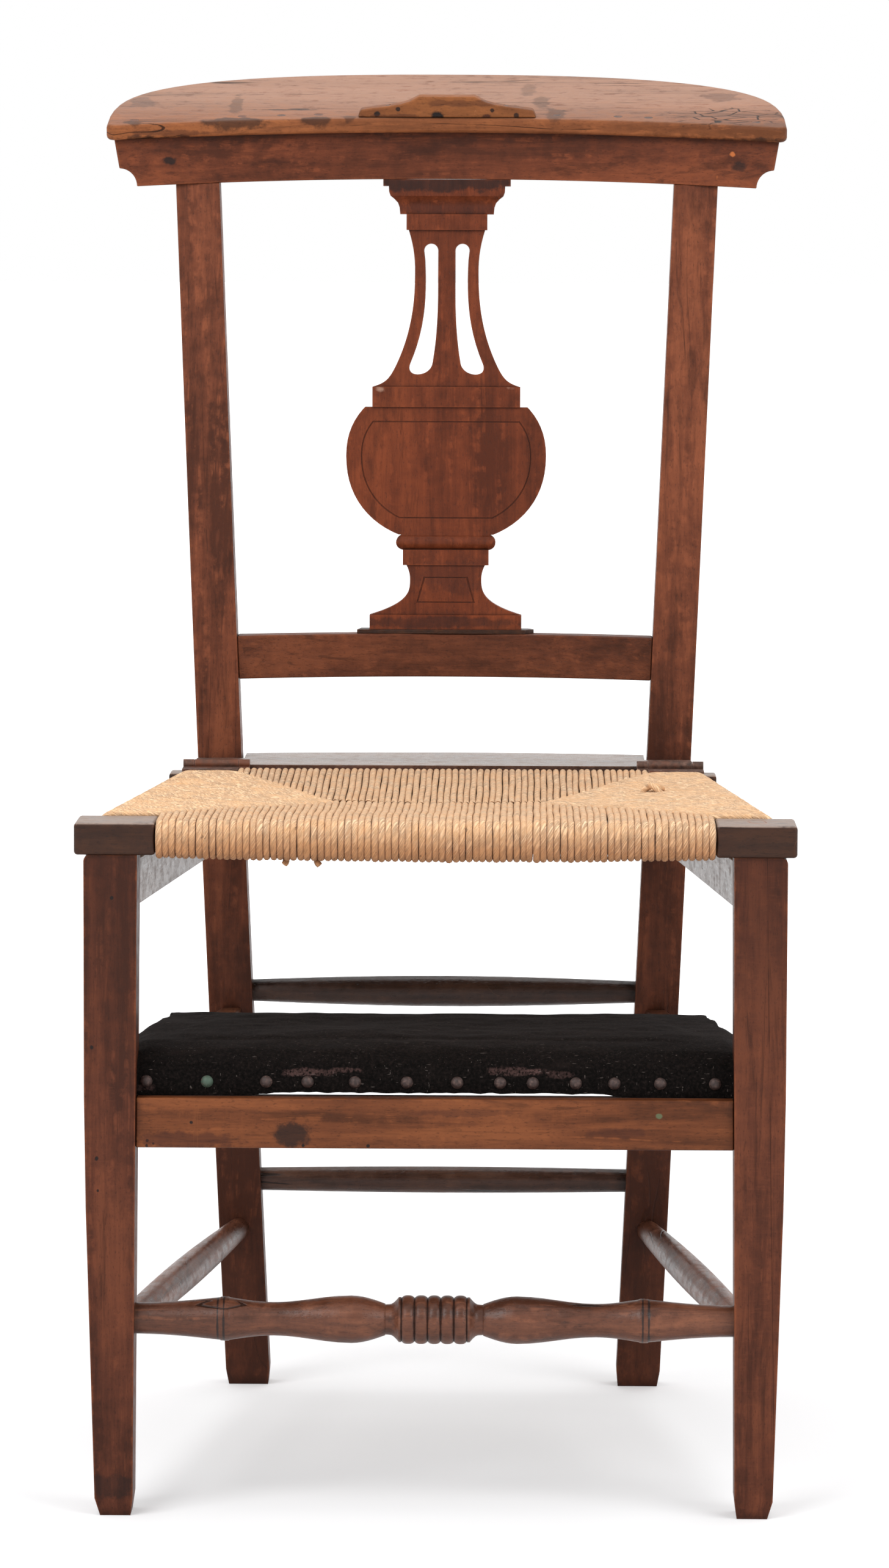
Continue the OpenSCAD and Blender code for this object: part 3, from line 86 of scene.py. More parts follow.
class Tree:
    """A material's nodes. Each method adds one node and returns its output socket."""

    def __init__(self, name):
        self.material = bpy.data.materials.new(name)
        self.material.use_nodes = True
        self.nodes = self.material.node_tree.nodes
        self.links = self.material.node_tree.links
        self.nodes.clear()
        self.shader = self.nodes.new("ShaderNodeBsdfPrincipled")
        output = self.nodes.new("ShaderNodeOutputMaterial")
        self.links.new(self.shader.outputs[0], output.inputs["Surface"])
        coords = self.nodes.new("ShaderNodeTexCoord")
        self.here = coords.outputs["Object"]
        self.normal = coords.outputs["Normal"]

    def put(self, node, key, value):
        """Sets or links a node's input. None leaves it as it is."""
        if value is None:
            return
        if isinstance(value, bpy.types.NodeSocket):
            self.links.new(value, node.inputs[key])
        else:
            node.inputs[key].default_value = value

    def surface(self, inputs):
        """Sets or links the shader's inputs, and hands over the material."""
        for key, value in inputs.items():
            self.put(self.shader, key, value)
        return self.material

    def add(self, kind, inputs=None, **settings):
        node = self.nodes.new(kind)
        for key, value in settings.items():
            setattr(node, key, value)
        for key, value in (inputs or {}).items():
            self.put(node, key, value)
        return node

    def math(self, operation, a, b=None, c=None):
        return self.add("ShaderNodeMath", {0: a, 1: b, 2: c}, operation=operation).outputs[0]

    def mul(self, a, b):
        return self.math("MULTIPLY", a, b)

    def mul_add(self, a, b, c):
        return self.math("MULTIPLY_ADD", a, b, c)

    def inverse(self, a):
        return self.math("SUBTRACT", 1.0, a)

    def vector(self, operation, a, b=None):
        node = self.add("ShaderNodeVectorMath", {0: a, 1: b}, operation=operation)
        return node.outputs["Value" if operation in ("DOT_PRODUCT", "LENGTH") else "Vector"]

    def scaled(self, coords, factors):
        return self.vector("MULTIPLY", coords, factors)

    def step(self, value, low, high):
        """Rises smoothly from 0 at low to 1 at high."""
        node = self.add("ShaderNodeMapRange", {0: value, 1: low, 2: high, 3: 0.0, 4: 1.0},
                        interpolation_type="SMOOTHSTEP")
        return node.outputs[0]

    def noise(self, coords, scale, detail=4.0, roughness=0.55, distortion=0.0):
        node = self.add("ShaderNodeTexNoise", {"Vector": coords, "Scale": scale, "Detail": detail,
                                               "Roughness": roughness, "Distortion": distortion})
        return node.outputs[0]

    def ramp(self, value, stops):
        node = self.add("ShaderNodeValToRGB", {0: value})
        ramp = node.color_ramp
        while len(ramp.elements) < len(stops):
            ramp.elements.new(0.5)
        for element, (place, color) in zip(ramp.elements, stops):
            element.position = place
            element.color = (*color, 1)
        return node.outputs[0]

    def mix(self, amount, a, b):
        node = self.add("ShaderNodeMix", data_type="RGBA")
        self.put(node, 0, amount)
        for index, color in ((6, a), (7, b)):
            self.put(node, index, (*color, 1) if isinstance(color, tuple) else color)
        return node.outputs[2]

    def bump(self, height, distance, strength=1.0, normal=None):
        node = self.add("ShaderNodeBump", {"Height": height, "Distance": distance,
                                           "Strength": strength, "Normal": normal})
        return node.outputs[0]

    def arris(self, reach):
        """1 on a convex edge, falling to 0 at this distance from it."""
        node = self.add("ShaderNodeAmbientOcclusion", {"Distance": reach},
                        samples=6, inside=True, only_local=True)
        return self.inverse(node.outputs["AO"])

    def crevice(self, reach):
        """1 deep in a corner between pieces, falling to 0 in the open."""
        node = self.add("ShaderNodeAmbientOcclusion", {"Distance": reach}, samples=6)
        return self.inverse(node.outputs["AO"])

    def line(self, value, at, width):
        """1 where a value passes this level, falling to 0 at this distance from it."""
        away = self.math("ABSOLUTE", self.math("SUBTRACT", value, at))
        return self.inverse(self.step(away, width * 0.4, width))

    def spot(self, here, place, reach, torn, strength):
        """A ragged mark around a place of the chair, with its reach along each axis, in millimetres."""
        away = self.vector("SUBTRACT", here, tuple(c * MM for c in place))
        away = self.scaled(away, tuple(1 / (c * MM) for c in reach))
        away = self.vector("LENGTH", away)
        away = self.mul_add(torn, 1.6, self.math("SUBTRACT", away, 0.8))
        return self.mul(self.inverse(self.step(away, 0.6, 1.0)), strength)

    def part(self, value, axis):
        """One of a vector's three numbers."""
        return self.add("ShaderNodeSeparateXYZ", {0: value}).outputs["XYZ".index(axis)]

    def facing(self, direction):
        """1 on faces that look along this direction of the chair."""
        return self.step(self.vector("DOT_PRODUCT", self.normal, direction), 0.5, 0.8)


def rgb(red, green, blue):
    """A colour as it is seen, from 0 to 255, in the renderer's linear values."""
    return tuple(((c / 255 + 0.055) / 1.055) ** 2.4 if c > 10 else c / 3294.6
                 for c in (red, green, blue))


def times(color, factor):
    return tuple(c * factor for c in color)


# Wood. Grain runs along an axis, where the pattern's coordinates are squeezed.

GRAIN = {"X": (0.07, 1.0, 1.0), "Y": (1.0, 0.07, 1.0), "Z": (1.0, 1.0, 0.07)}
SHORT_GRAIN = {axis: tuple(0.3 if c < 1 else 1.0 for c in GRAIN[axis]) for axis in GRAIN}
CROSS_GRAIN = {axis: tuple(1.0 if c < 1 else 0.16 for c in GRAIN[axis]) for axis in GRAIN}
ARRIS_REACH = 2.6 * MM
CORNER_REACH = 14 * MM
SEAM_REACH = 3 * MM
GRAIN_DEPTH = 0.22 * MM
DENT_DEPTH = 1.0 * MM


def shades(color, spread):
    """Darker and lighter companions of a colour, the light one a little warmer."""
    dark = times(color, 1 - spread)
    light = (color[0] * (1 + spread), color[1] * (1 + 1.1 * spread), color[2] * (1 + 0.95 * spread))
    return dark, color, light


def wood(name, grain, color, worn, spread=0.5, wear=0.5, grime_and_shade=0.5, seed=0.0, bare=None,
         bare_color=None, bare_from=None, gloss=0.42, shine=0.15, smudge=0.4, streaks=1.0, rays=0.2,
         cracks=0.0, holes=0.05, marks=(), crazed=None, fade=None):
    """Old varnished wood with its grain along one axis, worn at the arrises, with dirt and painted shade in
    the corners and painted shade in small grooves.

    Faces that look along `bare` get a pale painted sheen in patches, a painted reflection of the light
    above and of the white floor, the more so between the two depths in `bare_from`. `fade` is painted
    shade: it darkens the wood from one height to another, by its third number. `marks` holds places with
    their reach, colour and strength, among them stains, painted shade and painted highlights, and `crazed`
    one place with its reach.
    """
    t = Tree(name)
    here = t.vector("ADD", t.here, (seed, seed * 0.7, seed * 0.3))
    along = t.scaled(here, GRAIN[grain])
    short = t.scaled(here, SHORT_GRAIN[grain])

    # Colour of the sound wood
    clouds = t.noise(short, 15, 3, 0.5)
    bands = t.noise(along, 75, 4, 0.55, 0.6)
    fibres = t.noise(along, 520, 3, 0.6)
    mottle = t.noise(here, 100, 5, 0.62)
    flecks = t.noise(short, 1100, 2, 0.5)
    tone = t.mul_add(clouds, 0.42, t.mul(bands, 0.30 * streaks))
    tone = t.mul_add(fibres, 0.12, tone)
    tone = t.mul_add(mottle, 0.46 - 0.30 * streaks, tone)
    dark, mid, light = shades(color, spread)
    color = t.ramp(tone, [(0.42, dark), (0.5, mid), (0.58, light)])
    pores = t.step(flecks, 0.58, 0.72)
    color = t.mix(t.mul(pores, 0.45), color, times(dark, 0.6))
    ray = t.step(t.noise(t.scaled(here, CROSS_GRAIN[grain]), 800, 2, 0.5), 0.55, 0.70)
    ray = t.mul(ray, t.step(clouds, 0.44, 0.58))
    color = t.mix(t.mul(ray, rays), color, light)
    figure = t.noise(along, 130, 4, 0.65, 1.4)
    streak = t.mul(t.step(figure, 0.52, 0.66), t.step(clouds, 0.40, 0.62))
    color = t.mix(t.mul(streak, 0.55), color, times(dark, 0.7))
    glint = t.mul(t.step(figure, 0.49, 0.36), t.step(mottle, 0.44, 0.62))
    color = t.mix(t.mul(glint, 0.5), color, times(light, 1.25))
    stain = t.step(t.noise(short, 42, 5, 0.7), 0.53, 0.68)
    color = t.mix(t.mul(stain, smudge), color, times(dark, 0.45))

    # What age did to it, and painted light: painted shade by height, a painted sheen on faces that look one
    # way, and painted shade in corners and small grooves
    # Painted shade: the wood darkens from one height to another.
    if fade:
        low, high, amount = fade
        faded = t.mul(t.step(t.part(t.here, "Z"), low, high), amount)
        color = t.mix(faded, color, times(dark, 0.6))
    # Painted reflection: faces that look one way turn pale in patches, a painted sheen.
    if bare:
        sheen_shown = t.mul(t.facing(bare), t.step(t.math("ADD", mottle, fibres), 0.66, 1.0))
        if bare_from:
            sheen_shown = t.mul(sheen_shown, t.mul_add(t.step(t.part(t.here, "Y"), *bare_from), 0.75, 0.25))
        sheen_tones = t.ramp(tone, [(0.38, times(bare_color, 0.6)), (0.46, times(bare_color, 0.88)),
                                  (0.6, bare_color)])
        color = t.mix(sheen_shown, color, sheen_tones)
    for place, reach, paint, strength in marks:
        color = t.mix(t.spot(t.here, place, reach, mottle, strength), color, paint)
    rise = t.part(t.normal, "Z")
    rubbed = t.mul_add(mottle, 0.9, t.arris(ARRIS_REACH))
    rubbed = t.mul(t.step(rubbed, 0.78, 1.05), t.mul_add(t.step(rise, -0.6, 0.5), 0.6, 0.4))
    color = t.mix(t.mul(rubbed, wear), color, worn)
    # Dirt and painted shade in corners between pieces, and painted shade in small grooves and joints.
    corner = t.mul(t.step(t.crevice(CORNER_REACH), 0.22, 0.72), grime_and_shade)
    seam_shade = t.mul(t.step(t.crevice(SEAM_REACH), 0.32, 0.7), 0.8)
    color = t.mix(t.math("MAXIMUM", corner, seam_shade), color, times(dark, 0.22))

    # Scratches, cracks along the grain, crazing and worm holes
    lines = t.noise(t.scaled(here, (1.0, 1.0, 0.4)), 14, 1, 0.3, 2.2)
    scratch = t.mul(t.line(lines, 0.5, 0.0014), t.step(clouds, 0.56, 0.66))
    color = t.mix(t.mul(scratch, 0.2), color, worn)
    thread = t.scaled(along, SHORT_GRAIN[grain])
    split = t.mul(t.line(t.noise(thread, 45, 2, 0.4), 0.5, 0.006), cracks)
    split = t.mul(split, t.step(t.noise(here, 11, 2), 0.5, 0.56))
    if crazed:
        cells = t.add("ShaderNodeTexVoronoi", {"Vector": t.scaled(here, (0.45, 1.0, 1.0)), "Scale": 115.0},
                      feature="DISTANCE_TO_EDGE")
        net = t.inverse(t.step(cells.outputs["Distance"], 0.015, 0.05))
        net = t.mul(net, t.spot(t.here, *crazed, mottle, 1.0))
        split = t.math("MAXIMUM", split, net)
    color = t.mix(split, color, times(dark, 0.12))
    pits = t.add("ShaderNodeTexVoronoi", {"Vector": t.scaled(here, (1.0, 0.0, 1.0)), "Scale": 45.0})
    chance = t.add("ShaderNodeSeparateColor", {0: pits.outputs["Color"]}).outputs[0]
    hole = t.mul(t.math("LESS_THAN", pits.outputs["Distance"], 0.035), t.math("LESS_THAN", chance, holes))
    front = t.math("ABSOLUTE", t.vector("DOT_PRODUCT", t.normal, (0, 1, 0)))
    hole = t.mul(hole, t.step(front, 0.7, 0.9))
    color = t.mix(hole, color, times(dark, 0.1))

    rough = t.mul_add(t.step(mottle, 0.4, 0.7), 0.14, t.mul_add(fibres, 0.25, gloss - 0.12))
    height = t.mul_add(fibres, 0.5, t.mul(bands, 0.5))
    for groove, depth in ((pores, 0.35), (hole, 4.0), (scratch, 0.6), (split, 2.5)):
        height = t.math("SUBTRACT", height, t.mul(groove, depth))
    relief = t.bump(height, GRAIN_DEPTH, 1.0, t.bump(mottle, DENT_DEPTH, 0.45))
    return t.surface({"Base Color": color, "Roughness": rough, "Specular IOR Level": shine, "Normal": relief})


# Metal, paper and velvet

def rusty_iron(name, seed=0.0):
    """Iron under a brown crust, rubbed at its edges."""
    t = Tree(name)
    here = t.vector("ADD", t.here, (seed, seed, 0.0))
    crust = t.noise(here, 260, 6, 0.7)
    clouds = t.noise(here, 60, 4, 0.6)
    color = t.ramp(crust, [(0.3, rgb(40, 27, 22)), (0.52, rgb(82, 56, 44)), (0.75, rgb(128, 96, 82))])
    color = t.mix(t.step(clouds, 0.45, 0.7), color, rgb(104, 58, 36))
    rubbed = t.step(t.math("ADD", t.arris(1.2 * MM), t.mul(crust, 0.3)), 0.45, 0.7)
    color = t.mix(t.mul(rubbed, 0.5), color, rgb(160, 138, 128))
    return t.surface({"Base Color": color, "Roughness": t.mul_add(crust, 0.3, 0.45), "Metallic": 0.3,
                      "Normal": t.bump(crust, 0.25 * MM)})


def tarnished_tack(name, base, worn, green):
    """Dull copper, with verdigris on the tacks that these places name."""
    t = Tree(name)
    here = t.here
    spots = t.noise(here, 500, 4, 0.6)
    color = t.ramp(spots, [(0.35, times(base, 0.45)), (0.55, base), (0.75, worn)])
    for place, strength in green:
        color = t.mix(t.spot(here, place, (7, 20, 7), spots, strength), color, rgb(70, 94, 79))
    rim = t.step(t.crevice(3 * MM), 0.3, 0.8)
    color = t.mix(t.mul(rim, 0.6), color, rgb(30, 22, 20))
    return t.surface({"Base Color": color, "Roughness": t.mul_add(spots, 0.3, 0.4), "Metallic": 0.35,
                      "Normal": t.bump(spots, 0.15 * MM)})


def twisted_paper(name):
    """Cord of twisted paper. Its wrinkles follow the cord's own map: u in turns along it, v around."""
    t = Tree(name)
    uv = t.add("ShaderNodeUVMap", uv_map="lay").outputs[0]
    here = t.here
    turns = t.part(uv, "X")
    turn = t.mul(t.math("SUBTRACT", turns, t.part(uv, "Y")), 2 * math.pi)
    lay = t.add("ShaderNodeCombineXYZ", {0: t.math("COSINE", turn), 1: t.math("SINE", turn),
                                         2: t.mul(turns, 1.1)}).outputs[0]
    folds = t.noise(lay, 1.5, 2, 0.5)
    fibres = t.noise(lay, 6.5, 3, 0.65)
    depth = t.noise(here, 75, 3, 0.6)
    clouds = t.noise(here, 22, 3, 0.55)
    fuzz = t.noise(here, 1500, 3, 0.6)
    crease_shade = t.mul(t.line(folds, 0.5, 0.09), t.step(depth, 0.36, 0.62))
    tone = t.mul_add(fibres, 0.5, t.mul(depth, 0.5))
    color = t.ramp(tone, [(0.38, rgb(230, 180, 132)), (0.5, rgb(250, 207, 163)),
                          (0.62, rgb(254, 222, 184))])
    color = t.mix(t.mul(t.step(clouds, 0.5, 0.72), 0.25), color, rgb(222, 172, 124))
    # Dirt and painted shade: the lower part of the front loops turns browner.
    low_front_dirt_and_shade = t.mul(t.inverse(t.step(t.part(here, "Z"), 0.438, 0.461)),
                    t.inverse(t.step(t.part(here, "Y"), -0.290, -0.268)))
    color = t.mix(t.mul(low_front_dirt_and_shade, 0.85), color, rgb(182, 124, 80))
    # Painted shade in the cord's wrinkles.
    color = t.mix(t.mul(crease_shade, 0.5), color, rgb(150, 96, 58))
    # Painted shade in the gaps between strands, a little stronger towards the back.
    groove = t.step(t.crevice(3.0 * MM), 0.46, 0.98)
    behind = t.mul_add(t.step(t.part(here, "Y"), -0.08, 0.0), 0.12, 0.6)
    color = t.mix(t.mul(groove, behind), color, rgb(112, 66, 36))
    rip = t.mul(t.line(folds, 0.5, 0.09), t.step(t.noise(here, 190, 2), 0.70, 0.76))
    color = t.mix(t.mul(rip, 0.7), color, rgb(74, 42, 24))
    swell = t.step(t.math("ABSOLUTE", t.math("SUBTRACT", folds, 0.5)), 0.0, 0.13)
    height = t.mul_add(swell, 1.0, t.mul(fibres, 0.5))
    height = t.mul_add(fuzz, 0.12, height)
    return t.surface({"Base Color": color, "Roughness": 0.8, "Specular IOR Level": 0.15, "Sheen Weight": 0.1,
                      "Normal": t.bump(height, 0.6 * MM)})


# Rubbed places with their reach, in millimetres, and strength, and the lint's stretch and threshold
FRAYED = (((-84, -279, 293), (20, 10, 3.4), 0.7), ((-58, -279, 294.5), (12, 9, 2.2), 0.55),
          ((52, -279, 294), (22, 10, 3.4), 0.6), ((82, -279, 292), (10, 9, 3), 0.4),
          ((64, -279, 294), (7, 8, 2.4), 0.8), ((-190, -281, 282), (8, 12, 3), 0.4))
LINT = (((0.2, 1.0, 0.9), 0.73), ((1.0, 0.6, 0.25), 0.74), ((0.7, 1.0, 0.4), 0.74))


def worn_velvet(name):
    """Black velvet with lint on it and rubbed places near the tacks."""
    t = Tree(name)
    here = t.here
    pile = t.noise(t.scaled(here, (1.0, 0.45, 1.0)), 520, 5, 0.7)
    brushed = t.noise(t.scaled(here, (0.35, 1.0, 1.0)), 60, 5, 0.65)
    torn = t.noise(here, 150, 4, 0.65)
    color = t.ramp(pile, [(0.38, rgb(7, 6, 5)), (0.52, rgb(16, 13, 12)), (0.68, rgb(31, 25, 23))])
    color = t.mix(t.mul(t.step(brushed, 0.5, 0.74), 0.4), color, rgb(38, 31, 29))
    for place, reach, strength in FRAYED:
        frayed = t.mul(t.spot(here, place, reach, torn, strength), t.step(pile, 0.36, 0.58))
        color = t.mix(frayed, color, rgb(84, 63, 60))
    for index, (stretch, limit) in enumerate(LINT):
        lint = t.noise(t.scaled(t.vector("ADD", here, (index, 0.0, 0.0)), stretch), 900, 1, 0.4)
        color = t.mix(t.mul(t.step(lint, limit, limit + 0.06), 0.3), color, rgb(140, 128, 122))
    return t.surface({"Base Color": color, "Roughness": 0.95, "Specular IOR Level": 0.06,
                      "Sheen Weight": 0.08, "Sheen Roughness": 0.4, "Sheen Tint": (0.45, 0.38, 0.37, 1),
                      "Normal": t.bump(t.mul_add(brushed, 0.6, pile), 0.7 * MM)})


# Meshes

def new_piece(name, mesh, body, material, node):
    """Links a mesh that rides on a body and stands for a CAD node."""
    piece = put_in_scene(name, mesh)
    mesh.materials.clear()
    mesh.materials.append(material)
    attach(piece, body)
    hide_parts(node)
    return piece


def opened(node):
    """A CAD node's mesh, ready to edit."""
    build = bmesh.new()
    build.from_mesh(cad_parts[node].data)
    return build


def finished(build, name):
    mesh = bpy.data.meshes.new(name)
    build.to_mesh(mesh)
    build.free()
    return mesh


def apply_modifiers(piece):
    """Leaves the piece with the mesh that its modifiers give."""
    graph = bpy.context.evaluated_depsgraph_get()
    mesh = bpy.data.meshes.new_from_object(piece.evaluated_get(graph), depsgraph=graph)
    piece.modifiers.clear()
    piece.data = mesh
    return piece


# An edge this sharp is an arris. A rim wider than SMALL_RIM, or 12 radii, is rounded, and on the seat's
# rails each block that is thicker than BLOCK_SIZE.
SHARP = math.radians(28)
SMALL_RIM = 26 * MM
BLOCK_SIZE = 18 * MM
WELD = 0.002 * MM
FLAT = math.radians(0.6)


def sharp_rims(build):
    """The sharp edges in their connected groups."""
    left = {e for e in build.edges if e.is_manifold and e.calc_face_angle(0) > SHARP}
    while left:
        group = [left.pop()]
        for edge in group:
            for corner in edge.verts:
                for other in corner.link_edges:
                    if other in left:
                        left.remove(other)
                        group.append(other)
        yield group


def eased(name, node, body, material, radius, outer=False):
    """A copy of a CAD node with its arrises rounded, which stands for the node.

    Nail holes stay sharp, because the bevel's own limit takes the smallest hole's size for every edge.
    With `outer`, only the blocks at a seat rail's ends are rounded, without that limit.
    """
    build = opened(node)
    bmesh.ops.remove_doubles(build, verts=build.verts, dist=WELD)
    bmesh.ops.dissolve_limit(build, angle_limit=FLAT, verts=build.verts, edges=build.edges)
    if radius:
        edges = []
        for group in sharp_rims(build):
            spots = np.array([v.co for e in group for v in e.verts])
            size = spots.max(axis=0) - spots.min(axis=0)
            block = size.min() > BLOCK_SIZE
            wide = np.linalg.norm(size) > min(SMALL_RIM, 12 * radius)
            if block if outer else wide:
                edges.extend(group)
        bmesh.ops.bevel(build, geom=edges, offset=radius, segments=3, profile=0.5,
                        affect="EDGES", clamp_overlap=not outer)
    mesh = finished(build, name)
    if "custom_normal" in mesh.attributes:
        mesh.attributes.remove(mesh.attributes["custom_normal"])
    mesh.shade_smooth()
    mesh.set_sharp_from_angle(angle=math.radians(40))
    piece = new_piece(name, mesh, body, material, node)
    flat = piece.modifiers.new("flat faces", "WEIGHTED_NORMAL")
    flat.keep_sharp = True
    return apply_modifiers(piece)


class Tubes:
    """Gathers many round strands into one mesh, with a map that runs along and around each."""

    def __init__(self, sides, lay):
        self.sides = sides
        self.lay = lay
        self.points = []
        self.faces = []
        self.maps = []

    def strand(self, path, radius, start=0.0):
        """Adds a closed round strand along a path. Its girth varies a little."""
        sides = self.sides
        path = np.array(path)
        steps = np.linalg.norm(np.diff(path, axis=0), axis=1)
        run = np.concatenate([[0], np.cumsum(steps)]) + start
        ahead = np.gradient(path, axis=0)
        ahead /= np.linalg.norm(ahead, axis=1)[:, None]
        side = np.cross(path[1] - path[0], path[len(path) // 2] - path[0])
        if np.linalg.norm(side) < 1e-9:
            side = np.cross(ahead[0], (0.3, 0.2, 1.0))
        side /= np.linalg.norm(side)
        phase = start * 40
        first = len(self.points)
        for k, (place, along) in enumerate(zip(path, ahead)):
            side = side - along * np.dot(side, along)
            side /= np.linalg.norm(side)
            up = np.cross(along, side)
            girth = radius * (1 + 0.035 * math.sin(run[k] * 410 + phase)
                              + 0.03 * math.sin(run[k] * 173 + 2 * phase))
            for j in range(sides):
                turn = 2 * math.pi * j / sides
                self.points.append(place + girth * (math.cos(turn) * side + math.sin(turn) * up))
        for k in range(len(path) - 1):
            for j in range(sides):
                a = first + k * sides + j
                b = first + k * sides + (j + 1) % sides
                self.faces.append((a, b, b + sides, a + sides))
                v0, v1 = j / sides, (j + 1) / sides
                u0, u1 = run[k] / self.lay, run[k + 1] / self.lay
                self.maps.extend(((u0, v0), (u0, v1), (u1, v1), (u1, v0)))
        for ring in (0, len(path) - 1):
            loop = [first + ring * sides + j for j in range(sides)]
            self.faces.append(loop[::-1] if ring == 0 else loop)
            self.maps.extend([(run[ring] / self.lay, 0.0)] * sides)

    def mesh(self, name):
        mesh = bpy.data.meshes.new(name)
        mesh.from_pydata([tuple(p) for p in self.points], [], self.faces)
        layer = mesh.uv_layers.new(name="lay")
        layer.data.foreach_set("uv", np.array(self.maps, dtype=np.float32).ravel())
        mesh.shade_smooth()
        mesh.set_sharp_from_angle(angle=math.radians(70))
        return mesh


# Corded seat: strands that wrap the four rails and dive under each other at the mitres. The mitres run
# from the rails' corners to a ridge, RIDGE_X to each side, and RIDGE_SHARE of the way to the back.

CORD_PITCH = 4.4 * MM
CORD_R = 2.36 * MM
CORD_LAY = 21 * MM
CORD_BEND_R = 8.5 * MM
CORD_STEP = 6 * MM
CORD_SAG = 7.2 * MM
SAG_HALF_WIDTH = 175 * MM
FRONT_HANG = 1.8 * MM
RIDGE_X = 71 * MM
RIDGE_SHARE = 0.52
RIDGE_STEP = 1.8 * MM
FRONT_BLOCK = 53 * MM
REAR_BLOCK = 48 * MM
SIDE_TAPER = 36 * MM

# How far the turns stray: up on top, down underneath, and sideways
LIFT_MM = 0.10
HANG_MM = 0.65
SHIFT_MM = 0.12
SWAY = 0.22 * MM

# How a strand dives at its inner end: further in, and down from the top
MITRE_TUCKS = ((4.6 * MM, -6.2 * MM), (3.2 * MM, -4.2 * MM), (1.6 * MM, -2.0 * MM), (0.0, -0.6 * MM))
RIDGE_TUCKS = ((4.4 * MM, -6.5 * MM), (4.2 * MM, -3.2 * MM), (2.6 * MM, -0.8 * MM), (0.0, 0.2 * MM))
REAR_TUCKS = ((4.4 * MM, -6.5 * MM), (2.0 * MM, -4.2 * MM), (-2.5 * MM, -RIDGE_STEP),
              (-8.0 * MM, -RIDGE_STEP), (-16.0 * MM, -RIDGE_STEP * 0.8), (-26.0 * MM, -RIDGE_STEP * 0.45))

# The knot on top, and two ends that hang under the front rail, in millimetres
LOOSE_ENDS = (
    [(138, -70, 456), (141, -72, 460.5), (146, -76, 462.5), (151, -75, 461), (150, -71, 459),
     (145, -71, 461.5), (143, -75, 463), (147, -79, 461), (152, -80, 456)],
    [(-97, -280, 436), (-97.5, -285, 432), (-98.5, -286, 430.5)],
    [(-77, -281, 436), (-77, -286, 432), (-75.5, -287, 430)],
)

random_numbers = np.random.default_rng(11)


def unit(value):
    """The value, kept between 0 and 1."""
    return min(1.0, max(0.0, value))


def smooth_path(points):
    """Points on a smooth curve through these points."""
    points = [Vector(p) for p in points]
    ends = [points[0] * 2 - points[1]] + points + [points[-1] * 2 - points[-2]]
    path = []
    for a, b, c, d in zip(ends, ends[1:], ends[2:], ends[3:]):
        for t in (0.0, 0.2, 0.4, 0.6, 0.8):
            path.append(0.5 * (2 * b + (c - a) * t + (2 * a - 5 * b + 4 * c - d) * t * t
                               + (3 * b - 3 * c + d - a) * t ** 3))
    return [tuple(p) for p in path + [points[-1]]]


